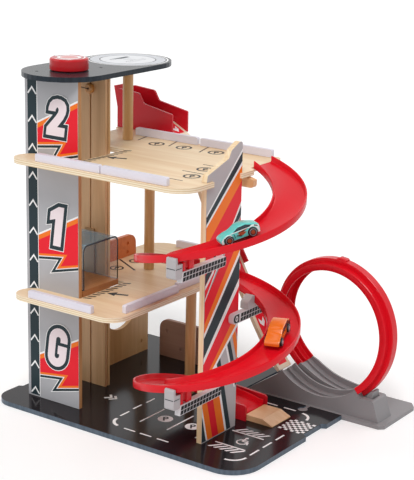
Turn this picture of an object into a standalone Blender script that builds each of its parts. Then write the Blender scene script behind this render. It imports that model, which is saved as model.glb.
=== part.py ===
import math

import bmesh
import bpy
from mathutils import Matrix, Vector

# Toy stunt garage. All sizes below are millimetres; +Z is up, the front faces -Y.
# Shapes are laid out from the base's front left corner; the finished part's origin
# is the point ORIGIN on the underside of the base.

MM = 0.001
ORIGIN = Vector((200, 165, 0))

# Clearances
GAP = 0.3
RUNNING_GAP = 0.6

# Boards
BOARD = 6.4
WALL = 6.0
THIN_WALL = 3.0

# Base
BASE_LENGTH = 403.0
BASE_DEPTH = 331.0
BASE_REAR_CORNER_X = 249.0

# Floors: height of each top face
LEVEL_1 = 160.4
LEVEL_2 = 341.5
ROOF = 448.2
DECK_FRONT = -2.5
DECK_LEFT = 28.0
DECK_1_RIGHT = 212.0
DECK_1_BACK = 322.0
DECK_2_RIGHT = 305.0
DECK_2_BACK = 224.0

# Lift tower
TOWER_LEFT = 31.0
TOWER_RIGHT = 120.0
TOWER_FRONT = 38.2
SHAFT_RIGHT = 122.0
GUIDE_FRONT = 120.5
GUIDE_THICK = 4.5
GUIDE_SLOT = 2.4
SLOT_X = 70.8
GUIDE_WIDTH = 24.0
BACK_BOARD_FRONT = 127.0
BACK_BOARD_THICK = 4.0
ROOF_RADIUS = 58.0
KNOB_X = 76.5
KNOB_Y = 72.0
KNOB_RADIUS = 25.0
KNOB_TOP = ROOF + 16.0
SPOOL_RADIUS = 7.4
CORD_RADIUS = 0.6

# Lift car
LIFT_FLOOR = 8.0
HOOD_TOP = 229.0
HOOD_SHEET = 2.5

# Columns
COLUMN_RADIUS = 7.1

# Striped panel and spiral track
PANEL_X = 305.0
PANEL_THICK = 7.5
PANEL_FRONT = 46.3
PANEL_BACK = 120.8
TRACK_X = PANEL_X + 1.0
TRACK_Y = 84.0
TRACK_INNER = 62.0
TRACK_OUTER = 104.0
TRACK_START = 341.5
TRACK_DROP = 81.7
TRACK_FLARE = 10.0
TRACK_SHEET = 2.3
TRACK_WALL = 7.5

# Loop
LOOP_X = 361.0
LOOP_Z = 106.5
LOOP_INNER = 82.0
LOOP_LEDGE = 91.4
LOOP_OUTER = 97.3
LOOP_SHEET = 2.3
LEDGE_WIDTH = 9.5
LANE_FRONT = 245.0
LANE_WIDTH = 35.5
LANE_SHIFT = 42.0
LANE_INSET = 1.7
LANE_WALL = 2.6
PLATE_THICK = 5.0
PLATE_FRONT = 237.8
PLATE_RIGHT = 463.8
PLATE_BACK = 337.0

# Launch gate
GATE_LEFT = 17.5
GATE_RIGHT = 113.5

# Toy cars
WHEEL_RADIUS = 5.6
WHEEL_WIDTH = 3.0
AXLE_RADIUS = 1.6
AXLE_SPREAD = 15.0
CAR_HALF_WIDTH = 7.8

# Where each car stands: degrees round the track, offset from the channel's middle,
# height of the wheels over its floor, and lean away from the middle in degrees
TURQUOISE_STAND = (127.3, -2.7, 2.15, 2.9)
ORANGE_STAND = (433.3, -4.3, 1.9, 0.9)


# Materials

def linear(value):
    if value <= 0.04045:
        return value / 12.92
    return ((value + 0.055) / 1.055) ** 2.4


def make_material(name, colour, roughness, metallic=0.0):
    material = bpy.data.materials.new(name)
    material.use_nodes = True
    shader = material.node_tree.nodes["Principled BSDF"]
    channels = [int(colour[i:i + 2], 16) / 255.0 for i in (0, 2, 4)]
    shader.inputs["Base Color"].default_value = [linear(c) for c in channels] + [1.0]
    shader.inputs["Roughness"].default_value = roughness
    shader.inputs["Metallic"].default_value = metallic
    material.diffuse_color = [linear(c) for c in channels] + [1.0]
    return material


def make_palette():
    return {
        "plywood": make_material("birch plywood", "E3C193", 0.55),
        "solid wood": make_material("beech wood", "D9AE74", 0.5),
        "dowel": make_material("beech dowel", "DDB47C", 0.5),
        "charcoal": make_material("charcoal painted board", "30363B", 0.35),
        "gray print": make_material("gray printed board", "B9B7B8", 0.45),
        "red plastic": make_material("red moulded plastic", "D3202B", 0.25),
        "red paint": make_material("red painted board", "CB1F2B", 0.35),
        "rail paint": make_material("white painted rail", "E6E1EC", 0.4),
        "gray plastic": make_material("gray moulded plastic", "8E8C8F", 0.4),
        "check print": make_material("checkered beam", "4A464B", 0.45),
        "acrylic": make_material("blue tinted acrylic", "8FB6C8", 0.1),
        "cord": make_material("braided black cord", "1C1C1E", 0.8),
        "dark plastic": make_material("dark plastic", "2A2A2D", 0.5),
        "turquoise": make_material("turquoise car paint", "5FC9C2", 0.3),
        "orange": make_material("orange car paint", "F07A20", 0.3),
        "rubber": make_material("black wheel", "1B1B1D", 0.6),
    }


PALETTE = {}


# Shape tools

def clear_scene():
    for item in list(bpy.data.objects):
        bpy.data.objects.remove(item, do_unlink=True)


def finish(name, mesh_data, material, origin=(0, 0, 0), smooth=False):
    """Turns a bmesh in millimetres into a named object with its origin at one point."""
    bmesh.ops.remove_doubles(mesh_data, verts=mesh_data.verts, dist=0.0005)
    bmesh.ops.recalc_face_normals(mesh_data, faces=mesh_data.faces)
    bmesh.ops.translate(mesh_data, verts=mesh_data.verts, vec=-Vector(origin))
    bmesh.ops.scale(mesh_data, verts=mesh_data.verts, vec=(MM, MM, MM))
    mesh = bpy.data.meshes.new(name)
    mesh_data.to_mesh(mesh)
    mesh_data.free()
    mesh.materials.append(PALETTE[material])
    item = bpy.data.objects.new(name, mesh)
    item.location = (Vector(origin) - ORIGIN) * MM
    bpy.context.scene.collection.objects.link(item)
    if smooth:
        round_shading(item)
    return item


def round_shading(item):
    for face in item.data.polygons:
        face.use_smooth = True
    limit = math.cos(math.radians(35))
    mesh_data = bmesh.new()
    mesh_data.from_mesh(item.data)
    for edge in mesh_data.edges:
        if len(edge.link_faces) == 2:
            first, second = edge.link_faces
            edge.smooth = first.normal.dot(second.normal) > limit
    mesh_data.to_mesh(item.data)
    mesh_data.free()


def rounded(corners, steps=6):
    """Outline from corners (a, b, radius); radius 0 keeps the corner sharp."""
    outline = []
    count = len(corners)
    for i, (a, b, radius) in enumerate(corners):
        here = Vector((a, b))
        if radius <= 0:
            outline.append((a, b))
            continue
        before = (Vector(corners[i - 1][:2]) - here).normalized()
        after = (Vector(corners[(i + 1) % count][:2]) - here).normalized()
        half = before.angle(after) / 2
        centre = here + (before + after).normalized() * radius / math.sin(half)
        reach = radius / math.tan(half)
        start = here + before * reach - centre
        end = here + after * reach - centre
        sweep = start.angle_signed(end)
        for k in range(steps + 1):
            turn = Matrix.Rotation(-sweep * k / steps, 2)
            outline.append(tuple(centre + turn @ start))
    return outline


def box_outline(a0, b0, a1, b1):
    return [(a0, b0), (a1, b0), (a1, b1), (a0, b1)]


def circle_outline(a, b, radius, sides=24):
    return [
        (a + radius * math.cos(2 * math.pi * k / sides),
         b + radius * math.sin(2 * math.pi * k / sides))
        for k in range(sides)
    ]


def lift_point(point, along, axis):
    a, b = point
    if axis == "X":
        return Vector((along, a, b))
    if axis == "Y":
        return Vector((a, along, b))
    return Vector((a, b, along))


def prism_bmesh(outline, low, high, axis="Z"):
    mesh_data = bmesh.new()
    bottom = [mesh_data.verts.new(lift_point(p, low, axis)) for p in outline]
    top = [mesh_data.verts.new(lift_point(p, high, axis)) for p in outline]
    mesh_data.faces.new(bottom)
    mesh_data.faces.new(top)
    count = len(outline)
    for i in range(count):
        j = (i + 1) % count
        mesh_data.faces.new((bottom[i], bottom[j], top[j], top[i]))
    return mesh_data


def prism(name, outline, low, high, material, axis="Z", origin=(0, 0, 0), smooth=False):
    """A flat outline pushed out along one axis between two positions."""
    return finish(name, prism_bmesh(outline, low, high, axis), material, origin, smooth)


def loft(name, sections, material, origin=(0, 0, 0), smooth=True):
    """Joins equal-length closed sections in order and caps both ends."""
    mesh_data = bmesh.new()
    rings = [[mesh_data.verts.new(p) for p in section] for section in sections]
    count = len(rings[0])
    for first, second in zip(rings, rings[1:]):
        for i in range(count):
            j = (i + 1) % count
            mesh_data.faces.new((first[i], first[j], second[j], second[i]))
    mesh_data.faces.new(rings[0])
    mesh_data.faces.new(rings[-1])
    return finish(name, mesh_data, material, origin, smooth)


def turned(name, profile, centre, axis, material, sides=32, origin=None):
    """Revolves a closed profile of (radius, along) points about an axis through centre."""
    mesh_data = bmesh.new()
    rings = []
    for k in range(sides):
        angle = 2 * math.pi * k / sides
        ring = []
        for radius, along in profile:
            a = radius * math.cos(angle)
            b = radius * math.sin(angle)
            ring.append(Vector(centre) + lift_point((a, b), along, axis))
        rings.append(ring)
    made = [[None] * len(profile) for _ in range(sides)]
    for i, (radius, _) in enumerate(profile):
        shared = mesh_data.verts.new(rings[0][i]) if radius == 0 else None
        for k in range(sides):
            made[k][i] = shared or mesh_data.verts.new(rings[k][i])
    for k in range(sides):
        after = (k + 1) % sides
        for i in range(len(profile)):
            j = (i + 1) % len(profile)
            loop = [made[k][i], made[k][j], made[after][j], made[after][i]]
            unique = list(dict.fromkeys(loop))
            if len(unique) > 2:
                mesh_data.faces.new(unique)
    return finish(name, mesh_data, material, origin or centre, True)


def rod(name, a, b, radius, low, high, material, axis="Z", sides=24, origin=(0, 0, 0)):
    outline = circle_outline(a, b, radius, sides)
    return prism(name, outline, low, high, material, axis, origin, True)


def combine(target, other, operation):
    """Applies one Boolean step to target and removes the other object."""
    modifier = target.modifiers.new("step", "BOOLEAN")
    modifier.operation = operation
    modifier.solver = "EXACT"
    modifier.object = other
    bpy.context.view_layer.objects.active = target
    bpy.ops.object.modifier_apply(modifier=modifier.name)
    bpy.data.objects.remove(other, do_unlink=True)
    return target


def cut_prism(target, outline, low, high, axis="Z"):
    cutter = prism("cutter", outline, low, high, "dark plastic", axis)
    return combine(target, cutter, "DIFFERENCE")


def add_prism(target, outline, low, high, axis="Z"):
    extra = prism("extra", outline, low, high, "dark plastic", axis)
    return combine(target, extra, "UNION")


# Base board with the cut-out for the loop's jigsaw tab

TAB_X = 351.5
TAB_Y = PLATE_FRONT - 14.0
TAB_RADIUS = 6.8
TAB_NECK = 2.8


def tab_outline(grow, root):
    """Points from the left side of the neck, round the head, to its right side."""
    radius = TAB_RADIUS + grow
    neck = TAB_NECK + grow
    start = math.asin(neck / radius)
    points = [(TAB_X - neck, root)]
    steps = 14
    for k in range(steps + 1):
        angle = start + (2 * math.pi - 2 * start) * k / steps
        points.append((TAB_X - radius * math.sin(angle), TAB_Y + radius * math.cos(angle)))
    points.append((TAB_X + neck, root))
    return points


def base_outline():
    lane_edge = PLATE_FRONT - GAP
    front = rounded([
        (0, 0, 28), (BASE_LENGTH, 0, 40),
        (BASE_LENGTH, 149, 1.5), (BASE_LENGTH - 6, 152, 1.5),
        (BASE_LENGTH - 6, 196, 1.5), (BASE_LENGTH, 199, 1.5),
        (BASE_LENGTH, lane_edge, 0),
        (TAB_X, lane_edge, 0),
        (BASE_REAR_CORNER_X, lane_edge, 0), (BASE_REAR_CORNER_X, BASE_DEPTH, 4),
        (0, BASE_DEPTH, 12),
        (0, 115, 1.5), (5, 112, 1.5), (5, 55, 1.5), (0, 52, 1.5),
    ], 8)
    middle = front.index((TAB_X, lane_edge))
    pocket = tab_outline(GAP, lane_edge)[::-1]
    return front[:middle] + pocket + front[middle + 1:]


def build_base():
    prism("base_board", base_outline(), 0, BOARD, "charcoal")


# Lift tower

PANEL_TOP = ROOF - BOARD - GAP


def build_tower():
    outline = box_outline(TOWER_LEFT, BOARD + GAP, TOWER_RIGHT, PANEL_TOP)
    prism("tower_front_panel", outline, TOWER_FRONT, TOWER_FRONT + WALL, "gray print", "Y")
    back = GUIDE_FRONT + GUIDE_THICK
    right = SLOT_X + GUIDE_SLOT / 2
    left = SLOT_X - GUIDE_SLOT / 2
    for name, low, high in (
        ("lift_guide_board_right", right, right + GUIDE_WIDTH),
        ("lift_guide_board_left", left - GUIDE_WIDTH, left),
    ):
        outline = box_outline(low, BOARD + GAP, high, PANEL_TOP)
        prism(name, outline, GUIDE_FRONT, back, "solid wood", "Y")
    build_back_board(left - GUIDE_WIDTH, right + GUIDE_WIDTH, back)


def build_back_board(left, right, guide_back):
    """The rear board carries two spacer strips that keep the slider's slot open."""
    strip = guide_back + GAP
    rear = BACK_BOARD_FRONT + BACK_BOARD_THICK
    outline = [
        (left, BACK_BOARD_FRONT), (left + 3, BACK_BOARD_FRONT), (left + 3, strip),
        (left + 8, strip), (left + 8, BACK_BOARD_FRONT),
        (right - 8, BACK_BOARD_FRONT), (right - 8, strip),
        (right - 3, strip), (right - 3, BACK_BOARD_FRONT), (right, BACK_BOARD_FRONT),
        (right, rear), (left, rear),
    ]
    prism("tower_back_board", outline, BOARD + GAP, PANEL_TOP, "solid wood")


# Roof with the knob, its spindle and spool, and the cord eyelet

ROOF_FRONT_CENTRE = 68.0
ROOF_BACK_CENTRE = 192.0
SPINDLE_RADIUS = 4.0
SPOOL_LOW = ROOF - 24.2
SPOOL_HIGH = ROOF - BOARD - RUNNING_GAP
EYELET_Z = ROOF - 30.2


def build_roof():
    x = KNOB_X
    front = [
        (x + ROOF_RADIUS * math.cos(a), ROOF_FRONT_CENTRE + ROOF_RADIUS * math.sin(a))
        for a in [math.pi + math.pi * k / 20 for k in range(21)]
    ]
    back = [
        (x + ROOF_RADIUS * math.cos(a), ROOF_BACK_CENTRE + ROOF_RADIUS * math.sin(a))
        for a in [math.pi * k / 20 for k in range(21)]
    ]
    roof = prism("top_board", front + back, ROOF - BOARD, ROOF, "charcoal")
    hole = circle_outline(KNOB_X, KNOB_Y, SPINDLE_RADIUS + GAP, 20)
    cut_prism(roof, hole, ROOF - BOARD - 1, ROOF + 1)


def build_knob():
    low = ROOF + RUNNING_GAP - ROOF
    high = KNOB_TOP - ROOF
    socket = SPINDLE_RADIUS + GAP
    profile = [
        (socket, low), (KNOB_RADIUS - 1, low), (KNOB_RADIUS, low + 1),
        (KNOB_RADIUS, high - 2.5), (KNOB_RADIUS - 0.8, high - 0.8),
        (KNOB_RADIUS - 2.5, high), (0, high), (0, high - 4), (socket, high - 4),
    ]
    turned("knob", profile, (KNOB_X, KNOB_Y, ROOF), "Z", "red paint", 40)


def build_spindle():
    low = SPOOL_LOW - ROOF
    high = SPOOL_HIGH - ROOF
    top = KNOB_TOP - ROOF - 4 - GAP
    flange = SPOOL_RADIUS + 4
    profile = [
        (0, low), (flange, low), (flange, low + 1.5), (SPOOL_RADIUS, low + 1.5),
        (SPOOL_RADIUS, high - 1.5), (flange, high - 1.5), (flange, high),
        (SPINDLE_RADIUS, high), (SPINDLE_RADIUS, top), (0, top),
    ]
    turned("knob_spindle", profile, (KNOB_X, KNOB_Y, ROOF), "Z", "dark plastic", 28)


def build_eyelet():
    """Round eyelet on the face of the guide boards that leads the cord into the slot."""
    front = GUIDE_FRONT - GAP
    profile = [(1.6, -5), (5, -5), (6.8, -3.5), (6.8, 0), (1.6, 0)]
    turned("cord_eyelet", profile, (SLOT_X, front, EYELET_Z), "Y", "dark plastic", 24,
           (0, 0, 0))


# Lift cord: coil on the spool, run through the eyelet, and the fall behind the guides

FALL_Y = (GUIDE_FRONT + GUIDE_THICK + BACK_BOARD_FRONT) / 2
CORD_BEND_Z = EYELET_Z - 2.0


def cord_object(name, points, material, origin=(0, 0, 0)):
    data = bpy.data.curves.new(name, "CURVE")
    data.dimensions = "3D"
    data.bevel_depth = CORD_RADIUS * MM
    data.bevel_resolution = 2
    data.use_fill_caps = True
    line = data.splines.new("POLY")
    line.points.add(len(points) - 1)
    for spot, place in zip(line.points, points):
        spot.co = [*((Vector(place) - Vector(origin)) * MM), 1.0]
    data.materials.append(PALETTE[material])
    item = bpy.data.objects.new(name, data)
    item.location = (Vector(origin) - ORIGIN) * MM
    bpy.context.scene.collection.objects.link(item)
    return item


def build_cords():
    wrap = SPOOL_RADIUS + CORD_RADIUS + GAP
    points = []
    steps = 36
    for k in range(steps + 1):
        angle = math.pi - 2 * math.pi * 2 * (1 - k / steps)
        z = SPOOL_HIGH - 5 - 5 * k / steps
        points.append((KNOB_X + wrap * math.cos(angle), KNOB_Y - wrap * math.sin(angle), z))
    start = Vector(points[-1])
    mouth = Vector((SLOT_X, GUIDE_FRONT - 6, EYELET_Z))
    for k in range(1, 13):
        points.append(tuple(start.lerp(mouth, k / 12)))
    bend = FALL_Y - 2
    points.append((SLOT_X, GUIDE_FRONT, EYELET_Z))
    points.append((SLOT_X, bend, EYELET_Z))
    for k in range(1, 5):
        angle = math.pi / 2 * k / 4
        points.append((SLOT_X, bend + 2 * math.sin(angle),
                       EYELET_Z - 2 + 2 * math.cos(angle)))
    cord_object("lift_cord_run", points, "cord")
    build_cord_fall()


def build_cord_fall():
    low = HOOD_TOP + GAP
    high = CORD_BEND_Z - GAP
    rod("lift_cord_fall", SLOT_X, FALL_Y, CORD_RADIUS, low, high, "cord", "Z", 12,
        (SLOT_X, FALL_Y, high))


# Lift car: floor, clear hood and the slider that rides in the slot

CAR_LEFT = 55.0
CAR_RIGHT = SHAFT_RIGHT - 1.0
CAR_FRONT = TOWER_FRONT + WALL + 1.0
CAR_BACK = 117.6
LIFT_ORIGIN = (SLOT_X, FALL_Y, LEVEL_1)


def build_lift_car():
    outline = box_outline(CAR_LEFT, CAR_FRONT, CAR_RIGHT, CAR_BACK)
    prism("lift_floor", outline, LEVEL_1, LEVEL_1 + LIFT_FLOOR, "solid wood", "Z",
          LIFT_ORIGIN)
    build_hood()
    build_slider()


def build_hood():
    foot = LEVEL_1 + LIFT_FLOOR + GAP
    front = CAR_FRONT + 0.5
    back = CAR_BACK - 0.6
    sheet = HOOD_SHEET
    outer = rounded([(front, foot, 0), (back, foot, 0), (back, HOOD_TOP, 9),
                     (front, HOOD_TOP, 9)], 6)
    inner = rounded([(front + sheet, foot, 0), (back - sheet, foot, 0),
                     (back - sheet, HOOD_TOP - sheet, 9 - sheet),
                     (front + sheet, HOOD_TOP - sheet, 9 - sheet)], 6)
    arch = outer[1:] + [outer[0]] + [inner[0]] + inner[1:][::-1]
    prism("lift_hood", arch, CAR_LEFT, CAR_RIGHT, "acrylic", "X", LIFT_ORIGIN, True)


def build_slider():
    """T-section: a front strip, a web through the slot and a rear plate in the gap."""
    web = GUIDE_SLOT / 2 - 0.5
    front = CAR_BACK + GAP
    face = GUIDE_FRONT - RUNNING_GAP
    behind = GUIDE_FRONT + GUIDE_THICK + 0.4
    rear = BACK_BOARD_FRONT - 0.4
    x = SLOT_X
    outline = [
        (x - 8, front), (x + 8, front), (x + 8, face), (x + web, face),
        (x + web, behind), (x + 8, behind), (x + 8, rear), (x - 8, rear),
        (x - 8, behind), (x - web, behind), (x - web, face), (x - 8, face),
    ]
    prism("lift_slider", outline, LEVEL_1, HOOD_TOP, "dark plastic", "Z", LIFT_ORIGIN)


# Decks

def tongue_and_shaft(left):
    """Corners shared by both decks, from behind the shaft round to the front tongue."""
    tower_back = BACK_BOARD_FRONT + BACK_BOARD_THICK + GAP
    tongue = TOWER_FRONT - GAP
    return [
        (left, tower_back, 3), (SHAFT_RIGHT, tower_back, 3), (SHAFT_RIGHT, tongue, 3),
        (TOWER_LEFT + 6, tongue, 20), (TOWER_LEFT + 6, DECK_FRONT, 20),
    ]


def build_level_1():
    corners = tongue_and_shaft(DECK_LEFT) + [
        (DECK_1_RIGHT, DECK_FRONT, 25), (DECK_1_RIGHT, LANE_FRONT - 5, 8),
        (DECK_1_RIGHT - 32, LANE_FRONT + 3, 8), (DECK_1_RIGHT - 32, DECK_1_BACK, 10),
        (DECK_LEFT, DECK_1_BACK, 35),
    ]
    prism("level_1_deck", rounded(corners), LEVEL_1 - BOARD, LEVEL_1, "plywood")


def build_level_2():
    notch_front = PANEL_FRONT + 11.4
    notch_back = PANEL_BACK - 5.3
    inner = PANEL_X - GAP
    outer = PANEL_X + PANEL_THICK + 3.5
    corners = tongue_and_shaft(DECK_LEFT) + [
        (outer, DECK_FRONT, 30), (outer, notch_front, 1),
        (inner, notch_front, 1), (inner, notch_back, 1),
        (outer, notch_back, 1), (outer, TRACK_Y + TRACK_INNER - 3, 3),
        (TRACK_X - GAP, TRACK_Y + TRACK_INNER + 4, 2),
        (TRACK_X - GAP, DECK_2_BACK, 8), (GATE_RIGHT - 16, DECK_2_BACK, 3),
        (GATE_RIGHT - 16, LANE_FRONT + LANE_WIDTH + 2, 4),
        (GATE_LEFT, LANE_FRONT + LANE_WIDTH + 2, 4),
        (GATE_LEFT, LANE_FRONT - 6, 3), (DECK_LEFT, LANE_FRONT - 12, 3),
    ]
    prism("level_2_deck", rounded(corners), LEVEL_2 - BOARD, LEVEL_2, "plywood")


# Rails

RAIL_HIGH = 10.0
RAIL_THICK = 6.0


def rail(name, x0, y0, x1, y1, floor):
    """A low bar with rounded upper ends lying along X or Y."""
    low = floor + GAP
    high = low + RAIL_HIGH
    if x1 - x0 > y1 - y0:
        outline = rounded([(x0, low, 0), (x1, low, 0), (x1, high, 2), (x0, high, 2)], 3)
        return prism(name, outline, y0, y1, "rail paint", "Y")
    outline = rounded([(y0, low, 0), (y1, low, 0), (y1, high, 2), (y0, high, 2)], 3)
    return prism(name, outline, x0, x1, "rail paint", "X")


def build_rails():
    edge = DECK_FRONT + 1.5
    side = DECK_1_RIGHT - 6
    rail("level_1_rail_front", 68, edge, 173, edge + RAIL_THICK, LEVEL_1)
    rail("level_1_rail_right_front", side - RAIL_THICK, 28, side, 139, LEVEL_1)
    rail("level_1_rail_right_back", side - 11, 144, side - 5, 232, LEVEL_1)
    back = DECK_1_BACK - 5
    rail("level_1_rail_back", 73, back - RAIL_THICK, 172, back, LEVEL_1)
    rail("level_2_rail_front_left", 80, edge + 3, 184, edge + 3 + RAIL_THICK, LEVEL_2)
    rail("level_2_rail_front_right", 186, edge + 3, 286, edge + 3 + RAIL_THICK, LEVEL_2)
    back = DECK_2_BACK - 3
    rail("level_2_rail_back_left", 72, back - RAIL_THICK, 176, back, LEVEL_2)
    rail("level_2_rail_back_right", 181, back - RAIL_THICK, 294, back, LEVEL_2)


# Columns

def build_columns():
    for name, x, y, low, high in (
        ("column_ground", 198, 178, BOARD, LEVEL_1 - BOARD),
        ("column_level_1", 109, 200, LEVEL_1, LEVEL_2 - BOARD),
        ("column_level_2", 83, 184, LEVEL_2, ROOF - BOARD),
    ):
        rod(name, x, y, COLUMN_RADIUS, low + GAP, high - GAP, "dowel")


# Walls on the ground and on level 1

WALL_PLANE = 49.0
GROUND_TOP = LEVEL_1 - BOARD - GAP


def build_scalloped_wall():
    """Upright wall with a round bite taken out of its top edge."""
    low = BOARD + GAP
    front = BACK_BOARD_FRONT + BACK_BOARD_THICK + GAP
    back = 277.0
    bite_y, bite_z, bite = 213.0, 95.0, 40.0
    outline = [(front, low), (back, low), (back, GROUND_TOP), (bite_y + bite, GROUND_TOP)]
    for k in range(17):
        angle = -math.pi * k / 16
        outline.append((bite_y + bite * math.cos(angle), bite_z + bite * math.sin(angle)))
    outline += [(bite_y - bite, GROUND_TOP), (front, GROUND_TOP)]
    wall = prism("scalloped_wall", outline, WALL_PLANE - WALL, WALL_PLANE, "plywood", "X")
    for z in (24, 110):
        hole = circle_outline(back - 16, z, 3.0, 12)
        cut_prism(wall, hole, WALL_PLANE - 1.5, WALL_PLANE + 1, "X")


def build_ground_back_board():
    low = BOARD + GAP
    outline = rounded([(77, low, 0), (158, low, 0), (158, 63, 10), (77, 63, 14)])
    board = prism("ground_back_board", outline, 269, 269 + WALL, "solid wood", "Y")
    for x, z in ((91, 47), (116, 23)):
        cut_prism(board, circle_outline(x, z, 3.0, 12), 268, 270.5, "Y")


def build_low_wall():
    low = LEVEL_1 + GAP
    front = BACK_BOARD_FRONT + BACK_BOARD_THICK + GAP
    outline = rounded([(front, low, 0), (247, low, 0), (247, 191, 14), (front, 191, 3)])
    wall = prism("level_1_low_wall", outline, WALL_PLANE - WALL, WALL_PLANE,
                 "solid wood", "X")
    for y, z in ((228, 180), (228, 167)):
        cut_prism(wall, circle_outline(y, z, 2.6, 12), WALL_PLANE - 1.5, WALL_PLANE + 1, "X")


# Striped panel with its two deck notches, and the checkered beams it carries

def build_striped_panel():
    low = BOARD + GAP
    shelf = LEVEL_2 - BOARD - GAP
    lid = LEVEL_2 + GAP
    front_notch = PANEL_FRONT + 11.4 + GAP
    back_notch = PANEL_BACK - 5.3 - GAP
    near, deck = PANEL_FRONT, LEVEL_2
    outline = rounded([
        (near, low, 0), (PANEL_BACK, low, 0),
        (PANEL_BACK, shelf, 0), (back_notch, shelf, 0), (back_notch, lid, 0),
        (PANEL_BACK, lid, 0), (PANEL_BACK, deck + 39.5, 4), (near + 67.7, deck + 39.5, 6),
        (near + 50.7, deck + 31.5, 6), (near + 45.7, deck + 22.5, 3),
        (near + 1.7, deck + 8.5, 2), (near, lid, 0),
        (front_notch, lid, 0), (front_notch, shelf, 0), (PANEL_FRONT, shelf, 0),
    ], 3)
    prism("striped_panel", outline, PANEL_X, PANEL_X + PANEL_THICK, "gray print", "X")


BEAM_X = PANEL_X + PANEL_THICK + GAP
BEAM_THICK = 7.2
BEAM_HIGH = 13.0
FRONT_BEAM_END = TRACK_Y - TRACK_OUTER + 9.3


def track_underside(turn):
    return TRACK_START - turn * TRACK_DROP - TRACK_SHEET


def build_beams():
    for name, far, turn, drop in (
        ("checkered_beam_upper", TRACK_Y - 4, 1, 11.5),
        ("checkered_beam_lower", TRACK_Y - 8, 3, 16.1),
    ):
        high = track_underside(turn) - drop
        low = high - BEAM_HIGH
        outline = rounded([(FRONT_BEAM_END, low, 0), (far, low, 4), (far, high, 4),
                           (FRONT_BEAM_END, high, 0)], 4)
        prism(name, outline, BEAM_X, BEAM_X + BEAM_THICK, "check print", "X")
    high = back_beam_top()
    low = high - BEAM_HIGH
    near = TRACK_Y + 15
    far = TRACK_Y + 82
    outline = rounded([(near, low, 5), (far, low, 3), (far, high, 3), (near, high, 5)], 4)
    prism("checkered_beam_back", outline, BEAM_X, BEAM_X + BEAM_THICK, "check print", "X")


def back_beam_top():
    return track_underside(2) - 12.0


def build_track_bracket():
    """Wooden block under the deck's edge that also carries the start of the track."""
    high = LEVEL_2 - BOARD - GAP
    near = TRACK_Y + TRACK_INNER - 14
    left = PANEL_X - 9
    right = PANEL_X + 17
    outline = rounded([(left, high - 14, 2), (right, high - 14, 4), (right, high - 4, 1),
                       (PANEL_X + 1, high, 1), (left, high, 1)], 3)
    prism("track_bracket", outline, near, near + 8, "solid wood", "Y")


def build_clips():
    """Gray holders at the joints of the track; each hugs the outer wall from below."""
    left = PANEL_X + 1.8
    right = left + 14
    end = FRONT_BEAM_END - GAP
    rim = TRACK_Y - TRACK_OUTER - 0.6
    for name, turn in (("clip_upper", 1), ("clip_lower", 3)):
        under = track_underside(turn) - 0.6
        low = under - 18
        outline = rounded([
            (end, low, 3), (end, under, 0), (rim, under, 0), (rim, under + 8.5, 0),
            (rim - 3.6, under + 8.5, 2), (rim - 3.6, low, 3),
        ], 3)
        prism(name, outline, left, right, "gray plastic", "X")
    low = back_beam_top() + GAP
    right = BEAM_X + 9
    rim = TRACK_Y + math.sqrt(TRACK_INNER ** 2 - (right - TRACK_X) ** 2) - 0.6
    outline = rounded([
        (rim - 14, low, 0), (rim + 4, low, 0), (rim + 4, low + 4, 0), (rim, low + 4, 0),
        (rim, low + 16, 1.5), (rim - 3.5, low + 16, 1.5), (rim - 14, low + 9, 3),
    ], 3)
    prism("clip_back", outline, BEAM_X - 3, right, "gray plastic", "X")


# Spiral track: four half turns of one falling channel

def channel_section(theta, floor, inner, outer):
    """The channel's cross-section standing on a ray at one angle about the axis."""
    across = Vector((math.cos(theta), math.sin(theta), 0))
    centre = Vector((TRACK_X, TRACK_Y, 0))
    sheet = TRACK_SHEET
    points = [
        (inner, -sheet), (outer, -sheet), (outer, TRACK_WALL - 0.6),
        (outer - 0.6, TRACK_WALL), (outer - sheet, TRACK_WALL), (outer - sheet, 1.2),
        (outer - sheet - 1.6, 0), (inner + sheet + 1.6, 0), (inner + sheet, 1.2),
        (inner + sheet, TRACK_WALL), (inner + 0.6, TRACK_WALL), (inner, TRACK_WALL - 0.6),
    ]
    return [centre + across * r + Vector((0, 0, floor + z)) for r, z in points]


def track_sections(turn):
    """Stations of one half turn; the first one flares out to meet the deck."""
    steps = 30
    joint = GAP / 2 / TRACK_OUTER
    sections = []
    for k in range(steps + 1):
        travel = math.pi * k / steps
        if k == 0:
            travel += joint
        if k == steps:
            travel -= joint
        theta = math.pi / 2 - turn * math.pi - travel
        floor = TRACK_START - TRACK_DROP * (turn + travel / math.pi)
        flare = 0
        if turn == 0 and travel < math.pi / 2:
            flare = TRACK_FLARE * (1 - travel / (math.pi / 2)) ** 2
        sections.append(channel_section(theta, floor, TRACK_INNER + flare,
                                        TRACK_OUTER + flare))
    return sections


def build_track():
    names = ("track_half_1", "track_half_2", "track_half_3", "track_half_4")
    for turn, name in enumerate(names):
        sections = track_sections(turn)
        if turn == 3:
            reach = PANEL_X + PANEL_THICK - TRACK_X
            last = [p + Vector((reach, 0, 0)) for p in sections[-1]]
            sections.append(last)
        loft(name, sections, "red plastic")


# Way out at the foot of the track

EXIT_FLOOR = TRACK_START - 4 * TRACK_DROP


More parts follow.
